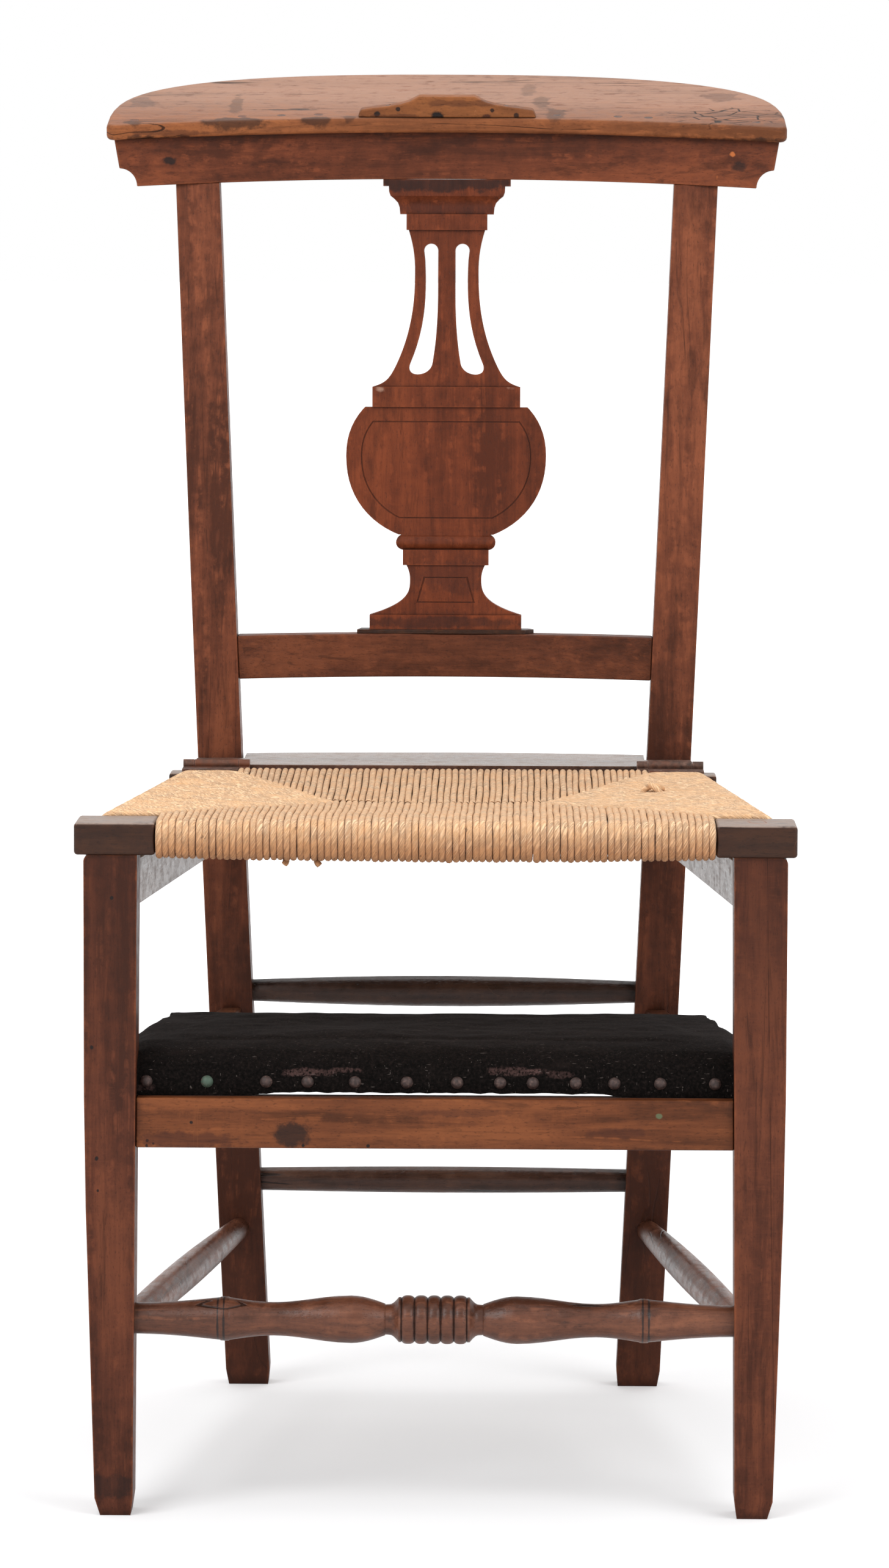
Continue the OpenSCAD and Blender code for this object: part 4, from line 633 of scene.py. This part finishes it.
def corded_seat(material):
    """The wound seat: front, rear and side turns, a knot and two loose ends."""
    low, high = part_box("seat_cord")
    rail_low, rail_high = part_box("seat_front_rail")
    rear_low, rear_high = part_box("seat_rear_rail")
    top = high.z - CORD_R
    bottom = low.z + CORD_R
    y_front = low.y + CORD_R
    y_back = high.y - CORD_R
    y1 = rail_high.y
    y2 = rear_low.y
    y_mid = rail_low.y + (rear_high.y - rail_low.y) * RIDGE_SHARE
    half_front = rail_high.x - FRONT_BLOCK
    half_rear = rear_high.x - REAR_BLOCK
    side_front = high.x - CORD_R
    side_rear = side_front - SIDE_TAPER
    tubes = Tubes(9, CORD_LAY)

    def mitre_x(y):
        if y < y_mid:
            return RIDGE_X + (half_front - RIDGE_X) * (y_mid - y) / (y_mid - y1)
        return RIDGE_X + (half_rear - RIDGE_X) * (y - y_mid) / (y2 - y_mid)

    def mitre_y(x, front):
        share = max(0.0, (abs(x) - RIDGE_X) / ((half_front if front else half_rear) - RIDGE_X))
        return y_mid + ((y1 if front else y2) - y_mid) * share

    def section(reach, tucks):
        """Outline of one turn: [distance in from the outer edge, height, 1 for top or 0 for bottom]."""
        bend = CORD_BEND_R
        points = [(reach + further, top + drop, 1) for further, drop in tucks]
        count = max(2, int((reach - bend) / CORD_STEP))
        flat = [reach - (reach - bend) * k / count for k in range(1, count + 1)]
        points.extend((d, top, 1) for d in flat)
        for k in range(1, 7):
            turn = math.pi / 2 * k / 6
            points.append((bend - bend * math.sin(turn), top - bend + bend * math.cos(turn), 1))
        points.append((-0.3 * MM, (top + bottom) / 2, 0))
        for k in range(0, 6):
            turn = math.pi / 2 * k / 5
            points.append((bend - bend * math.cos(turn), bottom + bend - bend * math.sin(turn), 0))
        points.extend((d, bottom, 0) for d in flat[::-1][1:])
        points.extend((reach + further, bottom - drop * 0.8, 0) for further, drop in MITRE_TUCKS[::-1])
        return points

    def settled(x, y, z, upper):
        """The seat sinks towards its middle, and the loops in front hang a little lower there."""
        deep = max(0.0, 1 - (x / SAG_HALF_WIDTH) ** 2)
        across = unit((y - y1) / (y2 - y1))
        sag = CORD_SAG * deep * math.sin(math.pi * across)
        if upper:
            return x, y, z - sag
        front = unit((y1 - y) / (30 * MM))
        return x, y, z + 0.25 * sag - FRONT_HANG * deep * front

    def lay_turns(count, pitch, first, reach_of, to_world, tucks_of, thick=1.0):
        """Lays turns side by side along a rail, each a little out of line."""
        for i in range(count):
            at = first + (i + 0.5) * pitch
            lift = random_numbers.normal(0, LIFT_MM) * MM
            hang = abs(random_numbers.normal(0, HANG_MM)) * MM
            shift = random_numbers.normal(0, SHIFT_MM) * MM
            phase = random_numbers.uniform(0, 6)
            path = []
            for d, z, upper in section(reach_of(at), tucks_of(at)):
                sway = SWAY * math.sin(phase + d * 55) + shift
                edge = min(1.0, max(0.0, d) / (12 * MM))
                z += lift * edge if upper else -hang * (1 - edge)
                path.append(settled(*to_world(at + sway, d, z), upper))
            tubes.strand(path, CORD_R * thick * random_numbers.uniform(0.96, 1.05),
                         start=random_numbers.uniform(0, 0.3))

    def front_tucks(x):
        return RIDGE_TUCKS if abs(x) < RIDGE_X else MITRE_TUCKS

    def rear_tucks(x):
        return REAR_TUCKS if abs(x) < RIDGE_X else MITRE_TUCKS

    count = round(2 * half_front / CORD_PITCH)
    lay_turns(count, 2 * half_front / count, -half_front, lambda x: mitre_y(x, True) - y_front,
              lambda x, d, z: (x, y_front + d, z), front_tucks)
    count = round(2 * half_rear / CORD_PITCH)
    lay_turns(count, 2 * half_rear / count, -half_rear, lambda x: y_back - mitre_y(x, False),
              lambda x, d, z: (x, y_back - d, z), rear_tucks, 0.93)

    def outer(y):
        return side_front + (side_rear - side_front) * (y - y1) / (y2 - y1)

    count = round((y2 - y1) / CORD_PITCH)
    for side in (-1, 1):
        lay_turns(count, (y2 - y1) / count, y1, lambda y: outer(y) - mitre_x(y),
                  lambda y, d, z, side=side: (side * (outer(y) - d), y, z), lambda y: MITRE_TUCKS)
    for strand in LOOSE_ENDS:
        tubes.strand(smooth_path([tuple(c * MM for c in p) for p in strand]), CORD_R * 0.9)
    return new_piece("paper_cord", tubes.mesh("paper_cord"), "seat", material, "seat_cord")


# Kneeler pad. Its cover lies SKIN outside the board, and ends just above the front rail.

PAD_VOXEL = 5 * MM
PAD_CAP = 7 * MM
PAD_FRAMES = 20
CLOTH = {"quality": 6, "mass": 0.3, "tension_stiffness": 12, "compression_stiffness": 8,
         "bending_stiffness": 0.4, "use_pressure": True, "uniform_pressure_force": 4.0,
         "vertex_group_mass": "held"}
START_LOWER = 0.18
SKIN = 2.0 * MM
CROWN = 2.5 * MM
BOARD_GAP = 0.4 * MM
pad_low, pad_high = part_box("kneeler_pad")
board_low, board_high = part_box("kneeler_board")
hem_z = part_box("kneeler_front_rail")[1].z + 0.25 * MM


def tack_places():
    """Where the tacks are along the front edge, from their own solid."""
    spots = sorted(v.co.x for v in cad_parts["kneeler_tacks"].data.vertices)
    groups = [[spots[0]]]
    for x in spots[1:]:
        if x - groups[-1][-1] > 6 * MM:
            groups.append([])
        groups[-1].append(x)
    return [(g[0] + g[-1]) / 2 for g in groups]


def hull_mesh(name, node):
    """A CAD node's convex hull."""
    build = opened(node)
    hull = bmesh.ops.convex_hull(build, input=build.verts)
    bmesh.ops.delete(build, geom=[g for g in hull["geom_interior"] + hull["geom_unused"]
                                  if isinstance(g, bmesh.types.BMVert)], context="VERTS")
    return finished(build, name)


def swell(pad, tacks):
    """Blows the cover up as cloth that is held at its hem and under the tacks."""
    tack_low, tack_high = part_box("kneeler_tacks")
    tack_z = (tack_low.z + tack_high.z) / 2
    start = []
    held = pad.vertex_groups.new(name="held")
    for v in pad.data.vertices:
        v.co.z -= max(0.0, v.co.z - board_high.z) * START_LOWER
        if v.co.z > tack_z and v.co.y < pad_low.y + 12 * MM:
            v.co.y += 0.8 * MM
        start.append(v.co.copy())
        under_tack = (v.co.y < pad_low.y + 4 * MM and abs(v.co.z - tack_z) < 4 * MM
                      and min(abs(v.co.x - x) for x in tacks) < 3.2 * MM)
        hem = v.co.z < pad_low.z + 3 * MM
        if hem or under_tack:
            held.add([v.index], 1.0, "REPLACE")
    cloth = pad.modifiers.new("cloth", "CLOTH")
    for key, value in CLOTH.items():
        setattr(cloth.settings, key, value)
    cloth.settings.effector_weights.gravity = 0
    cloth.point_cache.frame_start = 1
    cloth.point_cache.frame_end = PAD_FRAMES
    for moment in range(1, PAD_FRAMES + 1):
        bpy.context.scene.frame_set(moment)
    apply_modifiers(pad)
    bpy.context.scene.frame_set(1)
    for v, was in zip(pad.data.vertices, start):
        move = v.co - was
        if move.length > PAD_CAP:
            v.co = was + move * (PAD_CAP / move.length)


def shape_cover(pad):
    """Keeps the cover outside the board, rolls it over the edges and fills its crown."""
    crown = pad_high.z + CROWN
    floor = board_high.z + SKIN
    for v in pad.data.vertices:
        p = v.co
        if p.z < pad_low.z + 1.6 * MM:
            continue
        roll = max(0.0, p.z - board_high.z - SKIN) * 0.9
        if p.z < board_high.z + 9 * MM:
            if p.y < board_low.y + 12 * MM:
                p.y = min(p.y, board_low.y - SKIN + roll)
            if p.y > board_high.y - 12 * MM:
                p.y = max(p.y, board_high.y + SKIN - roll)
            if abs(p.x) > board_high.x - 12 * MM:
                p.x = math.copysign(max(abs(p.x), board_high.x + SKIN - roll), p.x)
        if p.z > board_high.z + SKIN * 0.5:
            edge = unit(min((pad_high.x - abs(p.x)) / (20 * MM), (pad_high.y - p.y) / (20 * MM),
                            (p.y - pad_low.y) / (46 * MM)))
            p.z = max(p.z, floor + (crown - board_high.z - SKIN) * math.sqrt(edge * (2 - edge)))
    upper = pad.vertex_groups.new(name="upper")
    upper.add([v.index for v in pad.data.vertices if v.co.z > board_high.z + 3 * MM], 1.0, "REPLACE")
    soft = pad.modifiers.new("soft", "SMOOTH")
    soft.factor = 0.5
    soft.iterations = 8
    soft.vertex_group = "upper"
    apply_modifiers(pad)


def rumple(pad, tacks):
    """Makes the top uneven, draws the front in at the tacks and frays the hem."""
    for v in pad.data.vertices:
        p = v.co
        p.z += unit((p.z - board_high.z) / (8 * MM)) * (
            1.3 * MM * noise.noise(Vector((p.x * 16, p.y * 22, 3.1)))
            + 0.5 * MM * noise.noise(Vector((p.x * 60, p.y * 80, 9.7))))
        if p.z < pad_low.z + 2.6 * MM and p.y < board_low.y + 4 * MM:
            p.y = min(p.y, board_low.y - SKIN)
        if p.y < board_low.y and p.z < board_high.z:
            pull = min(min(abs(p.x - x) for x in tacks) / (14 * MM), 1.0)
            p.y -= 0.9 * MM * pull * pull * unit((p.z - pad_low.z) / (3 * MM))
            if p.z < pad_low.z + 2.5 * MM:
                ends = unit((abs(p.x) - 105 * MM) / (25 * MM))
                p.z -= (1.3 + 3.0 * ends) * MM + 0.7 * MM * noise.noise(Vector((p.x * 150, 0.0, 5.3)))
                p.z = max(p.z, hem_z)


def clear_board(pad):
    """Takes the board's space out of the pad."""
    space = bmesh.new()
    bmesh.ops.create_cube(space, size=1.0)
    for v in space.verts:
        v.co.x = (board_high.x + BOARD_GAP) * (1 if v.co.x > 0 else -1)
        v.co.y = board_high.y + BOARD_GAP if v.co.y > 0 else board_low.y - BOARD_GAP
        v.co.z = board_high.z + BOARD_GAP if v.co.z > 0 else board_low.z - 20 * MM
    tool = put_in_scene("board space", finished(space, "board space"))
    cut = pad.modifiers.new("board", "BOOLEAN")
    cut.operation = "DIFFERENCE"
    cut.object = tool
    apply_modifiers(pad)
    bpy.data.objects.remove(tool)


def kneeler_pad(material):
    """The stuffed velvet cover over its board."""
    mesh = hull_mesh("velvet_pad", "kneeler_pad")
    pad = new_piece("velvet_pad", mesh, "frame", material, "kneeler_pad")
    remesh = pad.modifiers.new("remesh", "REMESH")
    remesh.mode = "VOXEL"
    remesh.voxel_size = PAD_VOXEL
    apply_modifiers(pad)
    tacks = tack_places()
    swell(pad, tacks)
    smooth = pad.modifiers.new("smooth", "SUBSURF")
    smooth.levels = 1
    apply_modifiers(pad)
    shape_cover(pad)
    rumple(pad, tacks)
    clear_board(pad)
    pad.data.shade_smooth()
    pad.data.set_sharp_from_angle(angle=math.radians(55))
    pad.vertex_groups.clear()


# Stage. The floor glows in the camera's eyes from NEAR to FAR, so that it fades into the white world.

GLOW_NEAR = 0.26
NEAR = 0.9
FAR = 3.0
FLOOR_HALF = 40
WORLD_LIGHT = 0.62
WHITE = (1, 1, 1, 1)
LAMPS = (("key", (-1.9, -2.6, 2.6), (0, 0, 0.5), 2.2, 70), ("fill", (2.4, -2.2, 1.9), (0, 0, 0.45), 2.0, 42),
         ("top", (0.2, 0.6, 3.2), (0, 0, 0.4), 2.4, 38))


def make_floor():
    floor = Tree("floor")
    rays = floor.add("ShaderNodeLightPath").outputs
    direct = floor.math("MAXIMUM", rays["Is Glossy Ray"], rays["Is Transmission Ray"])
    direct = floor.math("MAXIMUM", rays["Is Camera Ray"], direct)
    away = floor.vector("LENGTH", floor.here)
    level = floor.mul_add(floor.step(away, NEAR, FAR), 1.0 - GLOW_NEAR, GLOW_NEAR)
    floor.surface({"Base Color": (0.82, 0.82, 0.83, 1), "Roughness": 0.9, "Specular IOR Level": 0.0,
                   "Emission Color": WHITE, "Emission Strength": floor.mul(direct, level)})
    mesh = bpy.data.meshes.new("floor")
    corners = [(-1, -1), (1, -1), (1, 1), (-1, 1)]
    mesh.from_pydata([(x * FLOOR_HALF, y * FLOOR_HALF, 0) for x, y in corners], [], [(0, 1, 2, 3)])
    mesh.materials.append(floor.material)
    plane = put_in_scene("floor", mesh)


def make_world():
    """White to the camera, in mirrors and through glass, and a softer light for everything else."""
    world = bpy.data.worlds.new("world")
    bpy.context.scene.world = world
    world.use_nodes = True
    nodes, links = world.node_tree.nodes, world.node_tree.links
    nodes.clear()
    rays = nodes.new("ShaderNodeLightPath").outputs
    either, direct = nodes.new("ShaderNodeMath"), nodes.new("ShaderNodeMath")
    mixed = nodes.new("ShaderNodeMixShader")
    output = nodes.new("ShaderNodeOutputWorld")
    for node, a, b in ((either, rays["Is Glossy Ray"], rays["Is Transmission Ray"]),
                       (direct, rays["Is Camera Ray"], either.outputs[0])):
        node.operation = "MAXIMUM"
        links.new(a, node.inputs[0])
        links.new(b, node.inputs[1])
    links.new(direct.outputs[0], mixed.inputs[0])
    for index, strength in ((1, WORLD_LIGHT), (2, 1.0)):
        light = nodes.new("ShaderNodeBackground")
        light.inputs["Color"].default_value = WHITE
        light.inputs["Strength"].default_value = strength
        links.new(light.outputs[0], mixed.inputs[index])
    links.new(mixed.outputs[0], output.inputs["Surface"])


def softbox(name, place, target, size, power):
    data = bpy.data.lights.new(name, "AREA")
    data.shape = "SQUARE"
    data.size = size
    data.energy = power
    lamp = put_in_scene(name, data)
    lamp.location = place
    lamp.rotation_euler = (Vector(target) - Vector(place)).to_track_quat("-Z", "Y").to_euler()


# The chair's woods

WOODS = {
    "leg": dict(grain="Z", color=rgb(84, 44, 29), worn=rgb(152, 84, 50), wear=0.75, grime_and_shade=0.7, rays=0.4,
                cracks=0.4, gloss=0.4),
    "post": dict(grain="Z", color=rgb(104, 56, 37), worn=rgb(150, 88, 56), wear=0.55, grime_and_shade=0.6,
                 cracks=0.3, gloss=0.4, smudge=0.6, spread=0.55),
    "rail": dict(grain="X", color=rgb(93, 50, 32), worn=rgb(150, 88, 56), wear=0.6, grime_and_shade=0.6),
    "splat": dict(grain="Z", color=rgb(101, 48, 27), worn=rgb(142, 72, 40), wear=0.45, grime_and_shade=0.85,
                  gloss=0.36, spread=0.42),
    "crest": dict(grain="X", color=rgb(100, 51, 31), worn=rgb(152, 88, 52), wear=0.5, grime_and_shade=0.8, smudge=0.6),
    "board": dict(grain="X", color=rgb(126, 74, 44), worn=rgb(176, 108, 62), wear=0.65, grime_and_shade=0.5, gloss=0.5,
                  spread=0.36, smudge=0.25, rays=0.1),
    "lip": dict(grain="X", color=rgb(118, 70, 40), worn=rgb(186, 126, 82), wear=0.5, grime_and_shade=0.6, gloss=0.45,
                spread=0.4, smudge=0.3),
    "kneeler_rail": dict(grain="X", color=rgb(103, 57, 33), worn=rgb(170, 108, 62), wear=0.6, grime_and_shade=0.6,
                         gloss=0.36, streaks=1.3, smudge=0.5),
    "side_rail": dict(grain="Y", color=rgb(84, 50, 34), worn=rgb(150, 100, 70), wear=0.5, grime_and_shade=0.6),
    "apron": dict(grain="Y", color=rgb(84, 48, 34), worn=rgb(150, 96, 66), wear=0.5, grime_and_shade=0.5, gloss=0.3,
                  shine=0.4),
    "ledge": dict(grain="X", color=rgb(74, 44, 32), worn=rgb(160, 118, 92), wear=0.6, grime_and_shade=0.5),
    "seat": dict(grain="X", color=rgb(48, 27, 17), worn=rgb(160, 92, 50), wear=0.9, grime_and_shade=0.4,
                 gloss=0.34, shine=0.2, cracks=0.4),
    "turned": dict(grain="X", color=rgb(100, 60, 43), worn=rgb(160, 104, 70), wear=0.35, grime_and_shade=0.7,
                   gloss=0.30, shine=0.3, smudge=0.6, cracks=0.8, holes=0.1),
}

# Marks, each a place in millimetres, its reach along x, y and z, a colour and a strength

BLACK = rgb(26, 20, 19)
INK = rgb(52, 48, 50)
RUSSET = rgb(58, 30, 24)
ORANGE = rgb(196, 112, 60)
# The next colour is a pale one for painted highlights, where the splat's chamfers catch the light.
PAINTED_HIGHLIGHT = rgb(186, 150, 130)
GREENISH = rgb(96, 116, 88)
DUSTY = rgb(150, 132, 126)


def on_face(y, rows):
    """Marks at one depth, from rows of x, z, the reach along x, y and z, a colour and a strength."""
    return tuple(((x, y, z), (wide, deep, high), paint, strength)
                 for x, z, wide, deep, high, paint, strength in rows)


BOARD_MARKS_AND_SHADOW = (
    ((-148.5, 142.6, 913.9), (26, 12, 8), BLACK, 0.7), ((-151.7, 193.3, 925.6), (6, 45, 14), BLACK, 0.4),
    ((-221.9, 136.1, 912.4), (7, 6, 6), BLACK, 0.6), ((-219.6, 200.2, 927.2), (10, 27, 9), INK, 0.35),
    ((-91.6, 149.5, 915.5), (13, 9, 7), BLACK, 0.65), ((-69.2, 155.6, 916.9), (5, 5, 6), BLACK, 0.5),
    ((-115, 177.9, 922), (29, 1.5, 6), BLACK, 1), ((-108, 180.6, 922.6), (9, 1.4, 6), BLACK, 0.9),
    ((58, 245, 937.5), (7, 30, 9), BLACK, 0.3), ((67, 206, 928.5), (7, 32, 9), BLACK, 0.4),
    ((77, 168, 919.5), (8, 26, 9), BLACK, 0.5), ((126, 134.6, 912), (8, 4, 6), BLACK, 0.65),
    ((142, 137.4, 912.7), (4, 4, 5), BLACK, 0.6), ((218.5, 123.5, 909.5), (6, 6, 5), BLACK, 0.5),
    ((196.7, 224, 932.7), (15, 22, 7), RUSSET, 0.4), ((77.6, 146.1, 914.7), (3.4, 3.4, 5), BLACK, 0.8),
    ((-43.9, 136, 906.1), (2.2, 8, 2), BLACK, 0.9), ((-32.2, 136, 905.3), (2, 8, 1.8), BLACK, 0.9),
    ((-82.5, 136, 911.5), (11, 6, 1.2), BLACK, 0.9), ((-69.4, 136, 909.9), (1.8, 6, 2), BLACK, 0.9),
    # On the next line, the first mark is a painted shadow along the lower front edge, where the board
    # overhangs the crest.
    ((0, 134, 901.5), (300, 20, 3.2), BLACK, 0.7), ((30, 136, 907), (60, 6, 3), RUSSET, 0.35),
    ((-190, 136, 905), (40, 12, 3), RUSSET, 0.5),
)
LIP_MARKS = on_face(154, (
    (-49.7, 919.1, 2.8, 8, 2.6, BLACK, 0.95), (-34.9, 922.6, 2, 8, 1.8, BLACK, 0.9),
    (-6.6, 917.6, 6, 8, 5, BLACK, 1), (28.1, 917.6, 5, 8, 3, RUSSET, 0.9),
    (32, 922, 2, 8, 1.8, BLACK, 0.9), (49.4, 918.2, 2.6, 8, 2.4, BLACK, 0.9),
    (10, 927, 34, 8, 3, RUSSET, 0.45), (-40, 917.5, 30, 8, 2, RUSSET, 0.5),
))
CREST_MARKS = on_face(142, (
    (-197.5, 886.2, 6, 12, 4, BLACK, 0.9), (-104.7, 895.6, 1.8, 9, 1.8, BLACK, 0.9),
    (176.5, 881, 1.8, 9, 1.8, BLACK, 0.9), (206.8, 882.8, 7, 9, 4, BLACK, 0.7),
    (202.8, 891.4, 2.4, 9, 2, ORANGE, 0.8), (192.1, 875, 2, 9, 3, ORANGE, 0.7),
    (14.5, 886.9, 34, 12, 16, BLACK, 0.45), (-120, 892, 60, 12, 5, RUSSET, 0.6),
    (-10, 870.5, 80, 12, 1.6, BLACK, 0.6), (97.3, 877.3, 9, 9, 0.8, ORANGE, 0.5),
    (110.3, 867.5, 7, 9, 0.9, ORANGE, 0.5), (103.2, 894.1, 6, 9, 0.8, ORANGE, 0.5),
))
KNEELER_MARKS = on_face(-288.8, (
    (-92.9, 253.6, 14, 8, 10, BLACK, 0.8), (-195.4, 248.2, 1.3, 5, 1.3, BLACK, 0.95),
    (-187.8, 248.7, 1.2, 5, 1.2, BLACK, 0.95), (-188.2, 245.3, 1.2, 5, 1.6, BLACK, 0.95),
    (-183.8, 246.7, 1.1, 5, 1.1, BLACK, 0.95), (-86, 246, 1.2, 5, 1.2, BLACK, 0.95),
    (-43.4, 246, 1.3, 5, 1.3, BLACK, 0.95), (-159.1, 260.9, 1.4, 5, 1.4, BLACK, 0.95),
    (-165, 249, 42, 8, 7, RUSSET, 0.55), (146.6, 266.6, 2.5, 5, 2, GREENISH, 0.6),
    (120, 255, 26, 8, 4, RUSSET, 0.4), (20, 268, 40, 8, 3, RUSSET, 0.4),
))
LEG_LEFT_MARKS = on_face(-292.8, (
    (-210.5, 408.8, 1.3, 4, 1.4, BLACK, 0.95), (-223.7, 310.6, 1.3, 4, 1.4, BLACK, 0.95),
    (-220.7, 237.4, 1.4, 4, 1.6, BLACK, 0.95), (-219.9, 216.1, 1.3, 4, 1.5, BLACK, 0.95),
    (-212, 20, 20, 40, 9, BLACK, 0.5),
))
# On the splat, the dark bands at heights 872, 853 and 556 are painted shade under the cap and its mouldings,
# and the pale marks at 724 and 725 are painted highlights where chamfers catch the light.
SPLAT_MARKS_AND_PAINTED_LIGHT = (
    ((0, 168, 872), (90, 20, 9), BLACK, 0.75), ((0, 168, 853), (60, 20, 6), RUSSET, 0.4),
    ((-47, 161, 724), (6, 9, 4), PAINTED_HIGHLIGHT, 0.6), ((47, 161, 725), (6, 9, 4), PAINTED_HIGHLIGHT, 0.5),
    ((0, 168, 590), (40, 20, 16), RUSSET, 0.35), ((0, 168, 556), (80, 20, 5), BLACK, 0.5),
)
SIDE_BAR_MARKS = on_face(-150, ((-167.7, 124.1, 14, 26, 10, BLACK, 0.7), (-170, 128, 6, 20, 5, DUSTY, 0.6)))
# Reach of the painted shadow under the pad, on the kneeler's side rails
PAD_SHADOW_REACH = (60, 60, 9)

# Painted shade in the turned bar's grooves: dark lines, two near each end, and six between and beside its
# five rings
FRONT_BAR_GROOVE_SHADE = on_face(-276.4, [(x, 129, 0.9, 40, 40, BLACK, 0.85) for x in (-141.9, -137.9, 136.7, 140.7)]
                          + [((n - 2.5) * 8.6, 129, 1.1, 40, 40, BLACK, 0.7) for n in range(6)])

# Faces with a pale painted sheen in patches, a painted reflection of the light above and of the white floor
INWARD = {"left": (1.0, 0.0, 0.0), "right": (-1.0, 0.0, 0.0)}
UPWARD = (0.0, 0.0, 1.0)
PALE_SHEEN = rgb(146, 126, 114)
GREY_SHEEN = rgb(122, 104, 95)
TAN_SHEEN = rgb(150, 130, 118)
PINK_SHEEN = rgb(163, 124, 103)
CRAZED_CORNER = ((200, 162, 918), (46, 36, 14))


def wooden(piece, node, look, slot, radius=1.2 * MM, body="frame", seed=0.0, outer=False, **changes):
    """A node in one of the woods, with what is different about it."""
    material = wood(piece, seed=seed, **dict(WOODS[look], **changes))
    eased(piece, node, body, material, radius, outer)


make_camera()
make_floor()
make_world()
for lamp in LAMPS:
    softbox(*lamp)

for number, side in enumerate(("left", "right")):
    wooden("leg_" + side, "front_leg_" + side, "leg", "leg_wood", seed=1.3 + number,
           fade=(0.25, 0.42, 0.35), marks=LEG_LEFT_MARKS if side == "left" else ())
    wooden("post_" + side, "back_post_" + side, "post", "post_wood", seed=4.1 + number,
           fade=(0.75, 0.05, 0.6))
    wooden("apron_" + side, "side_apron_" + side, "apron", "apron_wood", seed=6.2 + number,
           bare=INWARD[side], bare_color=GREY_SHEEN)
    wooden("kneeler_side_" + side, "kneeler_side_rail_" + side, "side_rail", "side_rail_wood",
           seed=8.4 + number, marks=(((-190 + 380 * number, -255, 279), PAD_SHADOW_REACH, BLACK, 0.9),))
    wooden("side_bar_" + side, "side_stretcher_" + side, "turned", "stretcher_wood", grain="Y",
           radius=0.0, seed=10.5 + number, marks=SIDE_BAR_MARKS if side == "left" else ())
    wooden("seat_side_" + side, "seat_side_rail_" + side, "seat", "seat_wood", grain="Y", body="seat",
           seed=12.1 + number)
wooden("rear_rail", "rear_seat_rail", "rail", "rail_wood", seed=14.2)
wooden("ledge", "hinge_ledge", "ledge", "ledge_wood", seed=15.7, bare=UPWARD,
       bare_color=TAN_SHEEN, shine=0.5, gloss=0.24)
wooden("kneeler_front", "kneeler_front_rail", "kneeler_rail", "kneeler_rail_wood", seed=16.9,
       marks=KNEELER_MARKS)
wooden("kneeler_plank", "kneeler_board", "side_rail", "pine_board", grain="X", seed=17.7,
       color=rgb(48, 32, 25), worn=rgb(70, 48, 38))
wooden("front_bar", "front_stretcher", "turned", "stretcher_wood", radius=0.0, seed=18.3,
       marks=FRONT_BAR_GROOVE_SHADE)
wooden("back_bar_upper", "back_stretcher_upper", "turned", "stretcher_wood", radius=0.0, seed=19.2,
       color=rgb(54, 35, 27))
wooden("back_bar_lower", "back_stretcher_lower", "turned", "stretcher_wood", radius=0.0, seed=20.6,
       color=rgb(68, 44, 34))
wooden("lower_rail", "lower_back_rail", "rail", "rail_wood", seed=21.4)
wooden("urn_splat", "splat", "splat", "splat_wood", radius=0.5 * MM, seed=22.8, holes=0.0, marks=SPLAT_MARKS_AND_PAINTED_LIGHT)
wooden("shim", "splat_shim", "seat", "shim_wood", radius=0.3 * MM, seed=23.1, wear=0.2)
wooden("crest", "crest_rail", "crest", "crest_wood", seed=24.9, marks=CREST_MARKS)
wooden("book_board", "arm_board", "board", "board_wood", radius=3.0 * MM, seed=25.3, marks=BOARD_MARKS_AND_SHADOW,
       bare=UPWARD, bare_color=PINK_SHEEN, bare_from=(0.13, 0.23), cracks=0.9, crazed=CRAZED_CORNER)
wooden("lip", "book_lip", "lip", "lip_wood", radius=1.4 * MM, seed=26.6, marks=LIP_MARKS)
wooden("seat_front", "seat_front_rail", "seat", "seat_wood", radius=2.4 * MM, body="seat", seed=27.2,
       bare=UPWARD, bare_color=PALE_SHEEN, outer=True)
wooden("seat_rear", "seat_rear_rail", "seat", "seat_wood", radius=2.0 * MM, body="seat", seed=28.4,
       bare=UPWARD, bare_color=PALE_SHEEN, outer=True)
wooden("plug", "seat_rail_plug", "seat", "seat_wood", radius=0.2 * MM, body="seat", seed=29.9,
       bare=UPWARD, bare_color=PALE_SHEEN)

iron = rusty_iron("hinge iron")
for side in ("left", "right"):
    for part, body in (("ledge", "frame"), ("seat", "seat")):
        eased(f"{part}_leaf_{side}", f"hinge_{part}_leaf_{side}", body, iron, 0.35 * MM)
dark_iron = rusty_iron("screw iron", seed=3.0)
eased("pins", "hinge_pins", "frame", dark_iron, 0.2 * MM)
for piece, node, body in (("ledge_screws", "hinge_ledge_screws", "frame"),
                          ("seat_screws", "hinge_seat_screws", "seat"),
                          ("board_nails", "arm_board_nails", "frame"),
                          ("lip_nails", "book_lip_nails", "frame")):
    eased(piece, node, body, dark_iron, 0.15 * MM)
copper = tarnished_tack("tack copper", rgb(66, 50, 46), rgb(104, 82, 74), (((-147.9, -280, 286.5), 0.75),))
eased("tacks", "kneeler_tacks", "frame", copper, 0.15 * MM)

corded_seat(twisted_paper("paper cord"))
kneeler_pad(worn_velvet("velvet"))

bpy.context.scene.view_settings.view_transform = "Standard"
